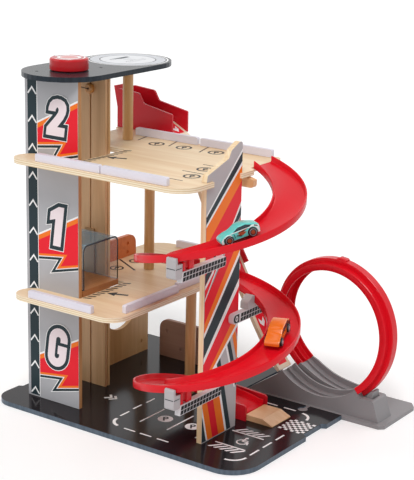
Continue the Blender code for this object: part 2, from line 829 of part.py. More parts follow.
def build_exit():
    low = BOARD + GAP
    channel_near = TRACK_Y + TRACK_INNER
    channel_far = TRACK_Y + TRACK_OUTER
    near = channel_near - 2.4
    end = PANEL_X + 10
    outline = rounded([(end - 24, low, 0), (end, low, 0), (end, 28, 4),
                       (end - 17, 28, 3), (end - 24, 22, 2)], 3)
    prism("exit_wall_near", outline, near - THIN_WALL, near, "red paint", "Y")
    outline = rounded([(end - 53, low, 0), (end, low, 0), (end, 27, 4),
                       (end - 53, 30, 4)], 3)
    prism("exit_wall_far", outline, channel_far + 2, channel_far + 5, "red paint", "Y")
    start = PANEL_X + PANEL_THICK + GAP
    top = EXIT_FLOOR - 0.3
    outline = [
        (start, low), (start + 41, low), (start + 41, low + 1), (start + 26, top),
        (start, top),
    ]
    prism("exit_wedge", outline, channel_near - 1, channel_far + 1.4, "solid wood", "Y")


# Dive ramp and launch gate

RAMP_THICK = 5.5
RAMP_PATH = [
    (60, 365), (75, 360), (91, 353.5), (115, 341), (127, 332), (135, 323), (142, 311.5),
    (149, 296.5), (157.5, 274.6), (171, 245.6), (191, 210.6), (215, 170.6),
    (239, 129.6), (257, 98.6), (273, 72.6), (286, 54.6), (298, 41.4),
]


def ramp_normals(path):
    normals = []
    for i in range(len(path)):
        before = Vector(path[max(i - 1, 0)])
        after = Vector(path[min(i + 1, len(path) - 1)])
        along = (after - before).normalized()
        normals.append(Vector((-along.y, along.x)))
    return normals


def ramp_strip(name, path, y0, y1, above, below, material):
    """A strip that follows the path, from `below` under it to `above` over it."""
    sections = []
    for point, normal in zip(path, ramp_normals(path)):
        top = Vector(point) + normal * above
        bottom = Vector(point) - normal * below
        sections.append([
            Vector((bottom.x, y0, bottom.y)), Vector((top.x, y0, top.y)),
            Vector((top.x, y1, top.y)), Vector((bottom.x, y1, bottom.y)),
        ])
    return loft(name, sections, material)


def build_dive_ramp():
    far = LANE_FRONT + LANE_WIDTH
    ramp_strip("dive_ramp", RAMP_PATH, LANE_FRONT + 3, far - 3, 0, RAMP_THICK, "plywood")
    ramp_strip("dive_ramp_wall", RAMP_PATH[5:-5], far - 3 + GAP, far, 7, 5, "red paint")


def build_launch_gate():
    low = LEVEL_2 + GAP
    far = LANE_FRONT + LANE_WIDTH
    side = rounded([
        (GATE_LEFT, low, 0), (GATE_RIGHT, low, 0), (GATE_RIGHT, LEVEL_2 + 29, 2),
        (GATE_LEFT + 46, LEVEL_2 + 38.5, 5), (GATE_LEFT + 38, LEVEL_2 + 52, 5),
        (GATE_LEFT, LEVEL_2 + 55, 2),
    ], 4)
    near = LANE_FRONT + 0.7
    prism("launch_wall_near", side, near - THIN_WALL, near, "red paint", "Y")
    prism("launch_wall_far", side, far - THIN_WALL, far, "red paint", "Y")


LEVER_X = GATE_LEFT + 4.5
LEVER_Z = LEVEL_2 + 5.0


def build_launch_lever():
    """Leaning gate plate that swings on a cross pin held by both walls."""
    y0 = LANE_FRONT + 0.7 + 0.4
    y1 = LANE_FRONT + LANE_WIDTH - THIN_WALL - 0.4
    origin = (LEVER_X, y0, LEVER_Z)
    lean = math.radians(-12)
    half = 2.4
    outline = [(-half, 0)]
    for k in range(9):
        angle = math.pi + math.pi * k / 8
        outline.append((3.4 * math.cos(angle), 3.4 * math.sin(angle)))
    outline += [(half, 6), (half, 54), (-half, 54), (-half, 6)]
    turned_points = []
    for a, b in outline[1:]:
        x = a * math.cos(lean) + b * math.sin(lean)
        z = -a * math.sin(lean) + b * math.cos(lean)
        turned_points.append((LEVER_X + x, LEVER_Z + z))
    prism("launch_lever", turned_points, y0, y1, "red paint", "Y", origin)


# Loop ring

FOOT_ANGLE = math.radians(49.5)


def ring_section(alpha, share):
    """Channel with two side ledges and a deeper middle; share runs 0 to 1 round the loop."""
    outward = Vector((math.cos(alpha), 0, math.sin(alpha)))
    centre = Vector((LOOP_X, 0, LOOP_Z))
    near = LANE_FRONT + LANE_INSET + LANE_SHIFT * share
    far = near + LANE_WIDTH - 2 * LANE_INSET
    sheet = LOOP_SHEET
    inner, ledge, outer = LOOP_INNER, LOOP_LEDGE, LOOP_OUTER
    left = near + LEDGE_WIDTH
    right = far - LEDGE_WIDTH
    points = [
        (ledge, near), (inner + 0.6, near), (inner, near + 0.6), (inner, near + sheet),
        (ledge - sheet, near + sheet), (ledge - sheet, left + sheet),
        (outer - sheet, left + sheet), (outer - sheet, right - sheet),
        (ledge - sheet, right - sheet), (ledge - sheet, far - sheet),
        (inner, far - sheet), (inner, far - 0.6), (inner + 0.6, far), (ledge, far),
        (ledge, right), (outer, right), (outer, left), (ledge, left),
    ]
    return [centre + outward * r + Vector((0, y, 0)) for r, y in points]


def build_ring():
    total = math.pi + 2 * FOOT_ANGLE
    joint = GAP / 2 / LOOP_INNER
    steps = 24
    for half, name in enumerate(("loop_half_right", "loop_half_left")):
        sections = []
        for k in range(steps + 1):
            share = (half + k / steps) / 2
            alpha = -FOOT_ANGLE + total * share
            if k == 0:
                alpha += joint
            if k == steps:
                alpha -= joint
            sections.append(ring_section(alpha, share))
        loft(name, sections, "red plastic")


# Gray loop base: plate, tab, front lane and rear lane

def arc_points(radius, start, end, steps):
    """Points on the loop's circle in the XZ plane, angles in degrees."""
    points = []
    for k in range(steps + 1):
        a = math.radians(start + (end - start) * k / max(steps, 1))
        points.append((LOOP_X + radius * math.cos(a), LOOP_Z + radius * math.sin(a)))
    return points


LANE_RIM = LOOP_INNER + 3.3
LANE_LEDGE = LOOP_LEDGE + 0.9
LANE_GROOVE = LANE_LEDGE + 3.2
SEAT_DEGREES = 310.2


def lane_block_outline():
    """Side view of the front block: shoulder, lane edge, seat of the ring's foot."""
    left = BASE_REAR_CORNER_X + GAP
    foot = LOOP_Z - 73.1
    rim = arc_points(LANE_RIM, 227, SEAT_DEGREES, 16)
    seat = arc_points(LOOP_OUTER + 0.9, SEAT_DEGREES, SEAT_DEGREES, 0)
    shoulder = arc_points(LANE_GROOVE + 1.5, 227, 227, 0)
    return (
        [(left, PLATE_THICK - 2), (left + 2, PLATE_THICK + 1)] + shoulder + rim + seat
        + [(LOOP_X + 66, foot), (LOOP_X + 81.5, foot), (LOOP_X + 83.5, foot - 1.6),
           (LOOP_X + 92.5, PLATE_THICK), (LOOP_X + 93, PLATE_THICK - 2)]
    )


REAR_RIM = [
    (-46, 38.8), (-39.2, 34.8), (-29.6, 29.8), (-20.2, 25.8), (-10.2, 22.8), (0.8, 20.4),
    (12.8, 18.6), (24.8, 17.4), (36.8, 16.6),
]
REAR_LEDGE = [
    (-55.4, 37.7), (-50.2, 33.6), (-44.2, 29.8), (-37.2, 25.8), (-30.6, 22.4),
    (-20.2, 18.2), (-8.5, 14.5), (2.2, 12.2), (13, 10.6), (24.8, 9.4), (36.8, 8.4),
]


def from_loop(points, lower=0.0):
    """Places points given from the loop's axis in X and from the ground in Z."""
    return [(LOOP_X + x, z - lower) for x, z in points]


def rear_block_outline():
    """Side view of the rear lane, which flattens out as it leaves the loop."""
    degrees = 539.7 - SEAT_DEGREES
    seat = arc_points(LOOP_OUTER + 1.4, degrees, degrees, 0)
    seat += arc_points(LANE_RIM - 1, degrees, degrees, 0)
    low = PLATE_THICK - 2
    return (
        [(LOOP_X - 96, low), (LOOP_X - 90, PLATE_THICK + 0.5)] + seat + from_loop(REAR_RIM)
        + [(LOOP_X + 45, PLATE_THICK + 0.5), (LOOP_X + 46, low)]
    )


def rear_lane_cut(lower):
    start = [(LOOP_X - 75, 50)]
    floor = from_loop(REAR_LEDGE, lower)
    floor = [(x, max(z, PLATE_THICK + 0.6)) for x, z in floor]
    return start + floor + [(LOOP_X + 60, floor[-1][1]), (LOOP_X + 60, 60)]


def plate_outline():
    corner = PLATE_FRONT
    left = BASE_REAR_CORNER_X + GAP
    lead = [(left, corner)]
    tail = rounded([
        (PLATE_RIGHT - 7, corner, 1.5), (PLATE_RIGHT, corner + 6.5, 1.5),
        (PLATE_RIGHT, PLATE_BACK - 11, 1.5), (PLATE_RIGHT - 9, PLATE_BACK, 1.5),
        (left + 12, PLATE_BACK, 2), (left, PLATE_BACK - 12, 2),
    ], 3)
    return lead + tab_outline(0, corner) + tail


SOCKET_HALF = 9.6


def build_loop_base():
    base = prism("loop_base", plate_outline(), 0, PLATE_THICK, "gray plastic")
    far = LANE_FRONT + LANE_WIDTH
    add_prism(base, lane_block_outline(), LANE_FRONT, far, "Y")
    side = LANE_INSET + LEDGE_WIDTH
    for radius, inset in ((LANE_LEDGE, LANE_WALL), (LANE_GROOVE, side)):
        floor = arc_points(radius, 220, SEAT_DEGREES + 4, 16)
        inside = arc_points(60, SEAT_DEGREES + 4, SEAT_DEGREES + 4, 0) + [(LOOP_X - 78, 90)]
        cut_prism(base, floor + inside, LANE_FRONT + inset, far - inset, "Y")
    middle = LANE_FRONT + LANE_WIDTH / 2
    socket = box_outline(LOOP_X + 66.5, LOOP_Z - 82, LOOP_X + 79.5, LOOP_Z)
    cut_prism(base, socket, middle - SOCKET_HALF, middle + SOCKET_HALF, "Y")
    rear = LANE_FRONT + LANE_SHIFT
    far = rear + LANE_WIDTH
    add_prism(base, rear_block_outline(), rear, far, "Y")
    for lower, inset in ((0, LANE_WALL), (3, side)):
        cut_prism(base, rear_lane_cut(lower), rear + inset, far - inset, "Y")


def build_foot_clip():
    """Tab that stands in the front lane's socket, close behind the ring's foot."""
    outline = [(69, -81.7), (77.2, -81.7), (77.2, -65), (73.6, -65), (69, -70.6)]
    outline = [(LOOP_X + x, LOOP_Z + z) for x, z in outline]
    middle = LANE_FRONT + LANE_WIDTH / 2
    half = SOCKET_HALF - 0.6
    prism("loop_foot_clip", outline, middle - half, middle + half, "gray plastic", "Y")


# Toy cars

def car_side(style):
    """Side view of the body, x forward from the centre, z from the wheel centres."""
    if style == "coupe":
        return rounded([
            (-25, -2.8, 1.2), (25, -2.8, 1.2), (25, 1.5, 1.5), (9, 4.2, 3), (1, 10.6, 3),
            (-10, 10.6, 3), (-22, 6.5, 4), (-25, 4.5, 1),
        ], 3)
    return rounded([
        (-25, -2.8, 1.2), (25, -2.8, 1.2), (25, 3, 2), (11, 5.5, 3), (5, 11.5, 2.5),
        (-17, 11.5, 2.5), (-24, 6, 3),
    ], 3)


def place(item, placement, origin_local):
    """Moves a part built about the car's own centre to its place, origin on its axis."""
    origin = placement @ Vector(origin_local)
    item.data.transform(Matrix.Translation(-origin * MM) @ scaled(placement))
    item.location = (origin - ORIGIN) * MM


def scaled(placement):
    small = placement.copy()
    small.translation = placement.translation * MM
    return small


def build_car(name, style, paint, placement):
    body = prism(name + "_body", car_side(style), -CAR_HALF_WIDTH, CAR_HALF_WIDTH, paint, "Y")
    for x in (-AXLE_SPREAD, AXLE_SPREAD):
        bore = circle_outline(x, 0, AXLE_RADIUS + 0.4, 12)
        cut_prism(body, bore, -CAR_HALF_WIDTH - 1, CAR_HALF_WIDTH + 1, "Y")
    place(body, placement, (0, 0, 0))
    inner = CAR_HALF_WIDTH + 0.4
    rim = inner + WHEEL_WIDTH
    for side, x in (("front", AXLE_SPREAD), ("rear", -AXLE_SPREAD)):
        profile = [
            (0, -rim), (WHEEL_RADIUS - 0.8, -rim), (WHEEL_RADIUS, -rim + 0.8),
            (WHEEL_RADIUS, -inner), (AXLE_RADIUS, -inner), (AXLE_RADIUS, inner),
            (WHEEL_RADIUS, inner), (WHEEL_RADIUS, rim - 0.8), (WHEEL_RADIUS - 0.8, rim),
            (0, rim),
        ]
        wheels = turned(name + "_wheels_" + side, profile, (x, 0, 0), "Y", "rubber", 24,
                        (0, 0, 0))
        place(wheels, placement, (x, 0, 0))


def car_placement(stand):
    """Frame of a car on the track: x ahead, y outwards and z up from the floor."""
    degrees, offset, lift, lean = stand
    travel = math.radians(degrees)
    theta = math.pi / 2 - travel
    middle = (TRACK_INNER + TRACK_OUTER) / 2
    floor = TRACK_START - TRACK_DROP * travel / math.pi
    slope = math.atan2(TRACK_DROP, math.pi * middle)
    ahead = Vector((math.sin(theta), -math.cos(theta), 0)) * math.cos(slope)
    ahead.z = -math.sin(slope)
    outward = Vector((math.cos(theta), math.sin(theta), 0))
    up = ahead.cross(outward)
    turn = Matrix.Rotation(math.radians(lean), 3, ahead)
    side = turn @ outward
    top = turn @ up
    spot = Vector((TRACK_X, TRACK_Y, floor)) + outward * (middle + offset)
    spot += top * (WHEEL_RADIUS + lift)
    frame = Matrix.Identity(4)
    for row in range(3):
        frame[row][0] = ahead[row]
        frame[row][1] = side[row]
        frame[row][2] = top[row]
        frame[row][3] = spot[row]
    return frame


def main():
    clear_scene()
    PALETTE.update(make_palette())
    build_base()
    build_tower()
    build_roof()
    build_knob()
    build_spindle()
    build_eyelet()
    build_cords()
    build_lift_car()
    build_level_1()
    build_level_2()
    build_rails()
    build_columns()
    build_scalloped_wall()
    build_ground_back_board()
    build_low_wall()
    build_striped_panel()
    build_beams()
    build_track_bracket()
    build_clips()
    build_track()
    build_exit()
    build_dive_ramp()
    build_launch_gate()
    build_launch_lever()
    build_ring()
    build_loop_base()
    build_foot_clip()
    build_car("turquoise_car", "coupe", "turquoise", car_placement(TURQUOISE_STAND))
    build_car("orange_car", "estate", "orange", car_placement(ORANGE_STAND))


main()
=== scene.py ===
import math

import bpy
from mathutils import Matrix, Vector


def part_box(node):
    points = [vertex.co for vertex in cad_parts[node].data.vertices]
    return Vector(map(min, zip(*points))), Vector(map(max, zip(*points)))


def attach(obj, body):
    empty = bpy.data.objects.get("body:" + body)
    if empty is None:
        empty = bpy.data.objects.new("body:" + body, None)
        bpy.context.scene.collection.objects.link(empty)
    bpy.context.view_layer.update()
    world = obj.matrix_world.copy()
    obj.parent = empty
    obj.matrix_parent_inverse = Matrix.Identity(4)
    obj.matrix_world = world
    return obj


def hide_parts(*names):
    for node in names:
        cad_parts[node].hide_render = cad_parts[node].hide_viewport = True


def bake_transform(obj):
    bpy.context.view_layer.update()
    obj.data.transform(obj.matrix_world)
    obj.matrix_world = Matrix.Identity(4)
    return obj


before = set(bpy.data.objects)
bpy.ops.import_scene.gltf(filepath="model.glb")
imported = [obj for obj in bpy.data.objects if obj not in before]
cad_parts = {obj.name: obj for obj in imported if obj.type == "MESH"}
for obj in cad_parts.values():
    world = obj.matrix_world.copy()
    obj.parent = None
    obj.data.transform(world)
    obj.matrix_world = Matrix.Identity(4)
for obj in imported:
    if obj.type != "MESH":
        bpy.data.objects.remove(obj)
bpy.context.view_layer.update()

MM = 0.001
# The part's origin, counted in millimetres from the base's front left corner.
CORNER = Vector((200, 165, 0))


def at(x, y, z):
    """A point given in millimetres from the base's front left corner, in metres."""
    return (Vector((x, y, z)) - CORNER) * MM


def face_of(node, axis, end):
    """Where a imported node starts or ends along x, y or z, in the same millimetres."""
    k = "xyz".index(axis)
    return round(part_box(node)[end][k] / MM + CORNER[k], 3)


LOW, HIGH = 0, 1
GROUND = face_of("base_board", "z", HIGH)
LEVEL_1 = face_of("level_1_deck", "z", HIGH)
LEVEL_2 = face_of("level_2_deck", "z", HIGH)
ROOF = face_of("top_board", "z", HIGH)
KNOB_TOP = face_of("knob", "z", HIGH)
TOWER_FACE = face_of("tower_front_panel", "y", LOW)
SIDE_FACE = face_of("striped_panel", "x", HIGH)
BEAM_FACE = face_of("checkered_beam_upper", "x", HIGH)


# Colours and materials

def colour(hex_value):
    """An sRGB hex value as the linear colour that a node takes."""
    channels = []
    for i in (0, 2, 4):
        v = int(hex_value[i:i + 2], 16) / 255
        channels.append(v / 12.92 if v <= 0.04045 else ((v + 0.055) / 1.055) ** 2.4)
    return (*channels, 1.0)


def per_metre(size):
    """Scale of a pattern whose features are this many millimetres wide."""
    return 1 / (size * MM)


def add_node(tree, kind, settings=(), links=()):
    """Adds one node; settings are (socket or property, value), links are (socket, output).

    The setting "stops" gives both ends of a colour ramp as (position, hex colour).
    """
    node = tree.nodes.new(kind)
    for key, value in settings:
        if key == "stops":
            for stop, (position, hex_value) in zip(node.color_ramp.elements, value):
                stop.position = position
                stop.color = colour(hex_value)
        elif isinstance(key, str) and hasattr(node, key) and key not in node.inputs:
            setattr(node, key, value)
        else:
            node.inputs[key].default_value = value
    for key, output in links:
        tree.links.new(output, node.inputs[key])
    return node


def new_material(name, roughness, **sockets):
    """A Principled material; further sockets are given by name, with _ for a space."""
    material = bpy.data.materials.new(name)
    material.use_nodes = True
    shader = material.node_tree.nodes["Principled BSDF"]
    shader.inputs["Roughness"].default_value = roughness
    for key, value in sockets.items():
        shader.inputs[key.replace("_", " ")].default_value = value
    return material, material.node_tree, shader


def object_space(tree, scale=(1.0, 1.0, 1.0), location=(0, 0, 0)):
    """Object coordinates in metres, stretched by a scale for each axis."""
    coordinates = add_node(tree, "ShaderNodeTexCoord")
    mapping = add_node(tree, "ShaderNodeMapping",
                       [("Scale", scale), ("Location", location)],
                       [("Vector", coordinates.outputs["Object"])])
    return mapping.outputs["Vector"]


def along_grain(grain_axis, across, along):
    """Scales of a pattern with one size across the grain and another along it."""
    scale = [per_metre(across)] * 3
    scale["XYZ".index(grain_axis)] = per_metre(along)
    return scale


def roughen(tree, shader, height, strength, depth):
    """Fine relief, with its depth in millimetres."""
    bump = add_node(tree, "ShaderNodeBump", [("Strength", strength), ("Distance", depth * MM)],
                    [("Height", height)])
    tree.links.new(bump.outputs["Normal"], shader.inputs["Normal"])


def wood_material(name, light, dark, grain_axis, roughness=0.5, band=17.9, coat=0.0):
    """Planed wood: dark fibres 2.4 mm wide along the grain, over slow growth bands.

    Real fibres are finer than the render shows, so they are drawn that coarse.
    """
    material, tree, shader = new_material(name, roughness, Coat_Weight=coat,
                                          Coat_Roughness=0.3)
    fibres = add_node(tree, "ShaderNodeTexNoise",
                      [("Scale", 1.0), ("Detail", 5.0), ("Roughness", 0.6)],
                      [("Vector", object_space(tree, along_grain(grain_axis, 2.38, 62.5)))])
    band_scale = along_grain(grain_axis, band, band * 11.43)
    bands = add_node(tree, "ShaderNodeTexNoise",
                     [("Scale", 1.0), ("Detail", 2.0), ("Distortion", 0.8)],
                     [("Vector", object_space(tree, band_scale, (1.3, 0.4, 2.1)))])
    mixed = add_node(tree, "ShaderNodeMath", [("operation", "MULTIPLY_ADD"), (1, 0.45)],
                     [(0, fibres.outputs["Fac"]), (2, bands.outputs["Fac"])])
    ramp = add_node(tree, "ShaderNodeValToRGB", [("stops", ((0.48, dark), (0.92, light)))],
                    [("Fac", mixed.outputs[0])])
    tree.links.new(ramp.outputs["Color"], shader.inputs["Base Color"])
    roughen(tree, shader, fibres.outputs["Fac"], 0.12, 0.3)
    return material


def edge_in(material, axis, edge_colour):
    """Keeps a board's colour on the faces square to an axis and gives its edges another."""
    tree = material.node_tree
    shader = tree.nodes["Principled BSDF"]
    face_colour = shader.inputs["Base Color"].links[0].from_socket
    geometry = add_node(tree, "ShaderNodeNewGeometry")
    facing = add_node(tree, "ShaderNodeSeparateXYZ", [],
                      [("Vector", geometry.outputs["Normal"])])
    square = add_node(tree, "ShaderNodeMath", [("operation", "ABSOLUTE")],
                      [(0, facing.outputs[axis])])
    flat = add_node(tree, "ShaderNodeMath", [("operation", "GREATER_THAN"), (1, 0.6)],
                    [(0, square.outputs[0])])
    mix = add_node(tree, "ShaderNodeMix", [("data_type", "RGBA")],
                   [(0, flat.outputs[0]), (6, edge_colour), (7, face_colour)])
    tree.links.new(mix.outputs[2], shader.inputs["Base Color"])
    return material


def plywood_material(name, face_light, face_dark, grain_axis):
    """Birch plywood: pale rotary-cut face, and thin layers of veneer on every edge."""
    material = wood_material(name, face_light, face_dark, grain_axis, 0.5, 27.8, 0.15)
    tree = material.node_tree
    # Veneers are about 1.3 mm thick, so the layers repeat every 2.6 mm.
    layer_space = object_space(tree, (per_metre(2.6),) * 3)
    axes = add_node(tree, "ShaderNodeSeparateXYZ", [], [("Vector", layer_space)])
    wave = add_node(tree, "ShaderNodeMath", [("operation", "PINGPONG"), (1, 0.5)],
                    [(0, axes.outputs["Z"])])
    layers = add_node(tree, "ShaderNodeValToRGB",
                      [("stops", ((0.12, "E0C49A"), (0.3, "F6E6CB")))],
                      [("Fac", wave.outputs[0])])
    return edge_in(material, "Z", layers.outputs["Color"])


def tint(tree, shader, base, cloud, detail, darkest, lightest):
    """Colours a surface with one colour, made slightly uneven by clouds some mm wide."""
    clouds = add_node(tree, "ShaderNodeTexNoise",
                      [("Scale", per_metre(cloud)), ("Detail", detail)],
                      [("Vector", object_space(tree))])
    shade = add_node(tree, "ShaderNodeMapRange", [("To Min", darkest), ("To Max", lightest)],
                     [("Value", clouds.outputs["Fac"])])
    scaled = add_node(tree, "ShaderNodeVectorMath",
                      [("operation", "SCALE"), (0, colour(base)[:3])],
                      [("Scale", shade.outputs["Result"])])
    tree.links.new(scaled.outputs["Vector"], shader.inputs["Base Color"])


def painted_material(name, base, roughness=0.35, mottle=0.06, peel=0.05, coat=0.0,
                     mirror=0.5):
    """Sprayed paint on board: faint cloudiness and orange peel about 1.5 mm wide."""
    material, tree, shader = new_material(name, roughness, Coat_Weight=coat,
                                          Coat_Roughness=0.12, Specular_IOR_Level=mirror)
    tint(tree, shader, base, 28.6, 3.0, 1.0 - mottle, 1.0 + mottle)
    skin = add_node(tree, "ShaderNodeTexNoise", [("Scale", per_metre(1.54)), ("Detail", 1.0)],
                    [("Vector", object_space(tree))])
    roughen(tree, shader, skin.outputs["Fac"], peel, 0.3)
    return material


def board_material(name, face, edge, face_axis, roughness=0.4, mirror=0.5):
    """A board painted on its broad faces, with the edge left in another finish."""
    material = painted_material(name, face, roughness, mirror=mirror)
    tree = material.node_tree
    # Fibres about 3.3 mm across show on the edge, and run 83 mm upwards.
    fibres = add_node(tree, "ShaderNodeTexNoise", [("Scale", 1.0), ("Detail", 4.0)],
                      [("Vector", object_space(tree, along_grain("Z", 3.33, 83.3)))])
    stripes = add_node(tree, "ShaderNodeValToRGB",
                       [("stops", ((0.3, edge[0]), (0.7, edge[1])))],
                       [("Fac", fibres.outputs["Fac"])])
    return edge_in(material, face_axis, stripes.outputs["Color"])


def moulded_material(name, base, roughness, texture=0.04, coat=0.0, mirror=0.5):
    """Injection-moulded plastic: even colour, faint mould texture, soft sheen."""
    material, tree, shader = new_material(name, roughness, Coat_Weight=coat,
                                          Coat_Roughness=0.08, Specular_IOR_Level=mirror)
    tint(tree, shader, base, 55.6, 2.0, 0.94, 1.05)
    grit = add_node(tree, "ShaderNodeTexNoise", [("Scale", per_metre(1.11)), ("Detail", 2.0)],
                    [("Vector", object_space(tree))])
    roughen(tree, shader, grit.outputs["Fac"], texture, 0.2)
    return material


def ink_material(name, base):
    """Screen-printed ink: flat colour with a very fine uneven sheen."""
    return painted_material(name, base, 0.4, 0.03, 0.03, mirror=0.2)


def acrylic_material():
    """Clear acrylic sheet, tinted blue: clear upright, and milky where it lies level, a painted
    reflection: level faces are made more opaque to stand in for the reflection on the top sheet.
    """
    material, tree, shader = new_material("blue tinted acrylic sheet", 0.03, IOR=1.49)
    wipe = add_node(tree, "ShaderNodeTexNoise", [("Scale", per_metre(16.7)), ("Detail", 2.0)],
                    [("Vector", object_space(tree))])
    haze = add_node(tree, "ShaderNodeValToRGB", [("stops", ((0, "7FB4D2"), (1, "9CC8DF")))],
                    [("Fac", wipe.outputs["Fac"])])
    tree.links.new(haze.outputs["Color"], shader.inputs["Base Color"])
    # Painted reflection: the more a face lies level, the more opaque it is made, standing in for
    # the reflection on the hood's top.
    geometry = add_node(tree, "ShaderNodeNewGeometry")
    facing = add_node(tree, "ShaderNodeSeparateXYZ", [],
                      [("Vector", geometry.outputs["Normal"])])
    level = add_node(tree, "ShaderNodeMath", [("operation", "ABSOLUTE")],
                     [(0, facing.outputs["Z"])])
    body = add_node(tree, "ShaderNodeMapRange",
                    [("From Min", 0.3), ("From Max", 0.9), ("To Min", 0.12), ("To Max", 0.45)],
                    [("Value", level.outputs[0])])
    tree.links.new(body.outputs["Result"], shader.inputs["Alpha"])
    return material


def cord_material():
    """Braided polyester cord: dull black strands about 1 mm wide crossing at a slant."""
    material, tree, shader = new_material("black braided cord", 0.75)
    braid = add_node(tree, "ShaderNodeTexWave",
                     [("Scale", per_metre(1.25)), ("Distortion", 2.0),
                      ("bands_direction", "DIAGONAL")],
                     [("Vector", object_space(tree))])
    strands = add_node(tree, "ShaderNodeValToRGB", [("stops", ((0, "141416"), (1, "3A3A3E")))],
                       [("Fac", braid.outputs["Fac"])])
    tree.links.new(strands.outputs["Color"], shader.inputs["Base Color"])
    roughen(tree, shader, braid.outputs["Fac"], 0.3, 0.2)
    return material


FINISH = {
    # Wood: plywood decks and walls, beech boards and dowels, each with its own stain.
    "deck": plywood_material("birch plywood sanded", "F3DBB8", "E2BE92", "X"),
    "wall ply": wood_material("birch plywood oiled", "DDB27C", "C39158", "Z", 0.45, 27.8, 0.2),
    "pale guide": wood_material("beech board tanned", "DDB284", "C39566", "Z", 0.5, 22.7),
    "deep wood": wood_material("beech board stained", "B87A45", "9A6032", "Y", 0.45, 20.8, 0.1),
    "amber wood": wood_material("beech board amber stain", "DE7A38", "C4622A", "X", 0.45,
                                20.8, 0.1),
    "brown board": wood_material("beech board brown stain", "A98472", "94705F", "X", 0.5, 27.8),
    "dowel": wood_material("beech dowel turned", "DDB27B", "C18E54", "Z", 0.45, 11.4, 0.2),
    "wedge": wood_material("beech block planed", "EFC596", "DDA871", "X", 0.45, 20.8, 0.15),
    "ramp": wood_material("birch ramp board", "F3E6D2", "E2CBAB", "X", 0.5, 25.0, 0.1),
    # Painted boards: one colour on the broad faces, the cut edge in its own.
    "base": board_material("charcoal lacquered board", "211D20", ("4F5B67", "606D7A"), "Z", 0.14,
                           0.16),
    "roof": board_material("charcoal lacquered roof", "24272C", ("1C232B", "27303A"), "Z", 0.25,
                           0.2),
    "tower panel": board_material("gray printed tower board", "B4B4B8",
                                  ("B27C4C", "CB9767"), "Y", 0.4, 0.25),
    "striped panel": board_material("gray printed side board", "BBB8BA",
                                    ("E9C697", "F7E3C2"), "X", 0.4, 0.25),
    # Gloss red track and lacquered red, white and gray parts.
    "red plastic": moulded_material("red gloss plastic", "DC1222", 0.27, 0.03, 0.08, 0.18),
    "red paint": painted_material("red lacquered board", "CE1B29", 0.27, 0.05, 0.04, 0.1, 0.25),
    "knob": painted_material("red high gloss knob lacquer", "C60E1B", 0.2, 0.03, 0.01, 0.1, 0.25),
    "rail": painted_material("white lacquered rail", "E3DFEA", 0.35),
    "gray plastic": moulded_material("gray moulded plastic", "8C898B", 0.38, 0.06, 0.0, 0.3),
    "clip plastic": moulded_material("pale gray moulded plastic", "B3AEB0", 0.4, 0.06),
    "tan plastic": moulded_material("tan moulded plastic", "A98358", 0.45, 0.06),
    "brass": moulded_material("brass plated eyelet", "C98A45", 0.3, 0.05),
    "dark plastic": moulded_material("dark moulded plastic", "26262A", 0.45, 0.06),
    "beam": painted_material("white painted beam", "DAD7DA", 0.4),
    # The toy cars.
    "turquoise": painted_material("turquoise lacquered wood", "5CCFC8", 0.2, 0.05, 0.03, 0.4),
    "orange": painted_material("orange lacquered wood", "F0761C", 0.2, 0.05, 0.03, 0.5),
    "tyre": moulded_material("black tyre plastic", "18181B", 0.55, 0.12),
    "hub": moulded_material("silver painted hub", "B9BCC2", 0.3, 0.02),
    # Printed colours.
    "white ink": ink_material("white printed ink", "F7F7F7"),
    "black ink": ink_material("black printed ink", "16181B"),
    "slate ink": ink_material("slate printed ink", "24343A"),
    "numeral ink": ink_material("pale pink-white printed ink", "F4E6EA"),
    "red ink": ink_material("red printed ink", "EC1C2E"),
    "orange ink": ink_material("orange printed ink", "F77B20"),
    "gray ink": ink_material("gray printed ink", "A4A2A8"),
    "pad ink": ink_material("light gray printed pad", "CFD1D6"),
    "pad centre ink": ink_material("pale gray printed pad centre", "E6E7EA"),
    "car side ink": ink_material("pale cyan printed car side", "E8F7F5"),
    "rust ink": ink_material("rust brown printed ink", "A5482A"),
    "brown ink": ink_material("brown scorched line", "4A3020"),
    "pink ink": ink_material("pale pink printed ink", "E3A7A5"),
    "car glass": moulded_material("dark car window print", "15303A", 0.15),
    # The clear hood and the lift's cord.
    "acrylic": acrylic_material(),
    "acrylic edge": moulded_material("dark saw-cut acrylic edge", "0E1A26", 0.2),
    "cord": cord_material(),
}

NODE_FINISH = {
    "base_board": "base", "top_board": "roof",
    "tower_front_panel": "tower panel", "striped_panel": "striped panel",
    "lift_guide_board_right": "pale guide", "lift_guide_board_left": "pale guide",
    "tower_back_board": "wall ply", "lift_floor": "deep wood",
    "ground_back_board": "brown board", "level_1_low_wall": "amber wood",
    "track_bracket": "wedge", "exit_wedge": "wedge",
    "level_1_deck": "deck", "level_2_deck": "deck", "scalloped_wall": "wall ply",
    "dive_ramp": "ramp",
    "column_ground": "dowel", "column_level_1": "dowel", "column_level_2": "dowel",
    "knob": "knob", "exit_wall_near": "red paint", "exit_wall_far": "red paint",
    "dive_ramp_wall": "red paint", "launch_wall_near": "red paint",
    "launch_wall_far": "red paint", "launch_lever": "red paint",
    "clip_upper": "clip plastic", "clip_lower": "clip plastic", "clip_back": "clip plastic",
    "loop_base": "gray plastic", "loop_foot_clip": "gray plastic",
    "checkered_beam_upper": "beam", "checkered_beam_lower": "beam",
    "checkered_beam_back": "beam",
    "lift_hood": "acrylic", "lift_cord_run": "cord", "lift_cord_fall": "cord",
    "cord_eyelet": "brass", "knob_spindle": "dark plastic",
    "lift_slider": "tan plastic",
    "turquoise_car_body": "turquoise", "orange_car_body": "orange",
}


def node_finish(name):
    """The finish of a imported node, by its name."""
    if "_rail_" in name:
        return "rail"
    if name.startswith(("track_half", "loop_half")):
        return "red plastic"
    if "_wheels_" in name:
        return "tyre"
    return NODE_FINISH[name]


for node_name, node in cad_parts.items():
    for material_slot in node.material_slots:
        material_slot.material = FINISH[node_finish(node_name)]


# Making pieces

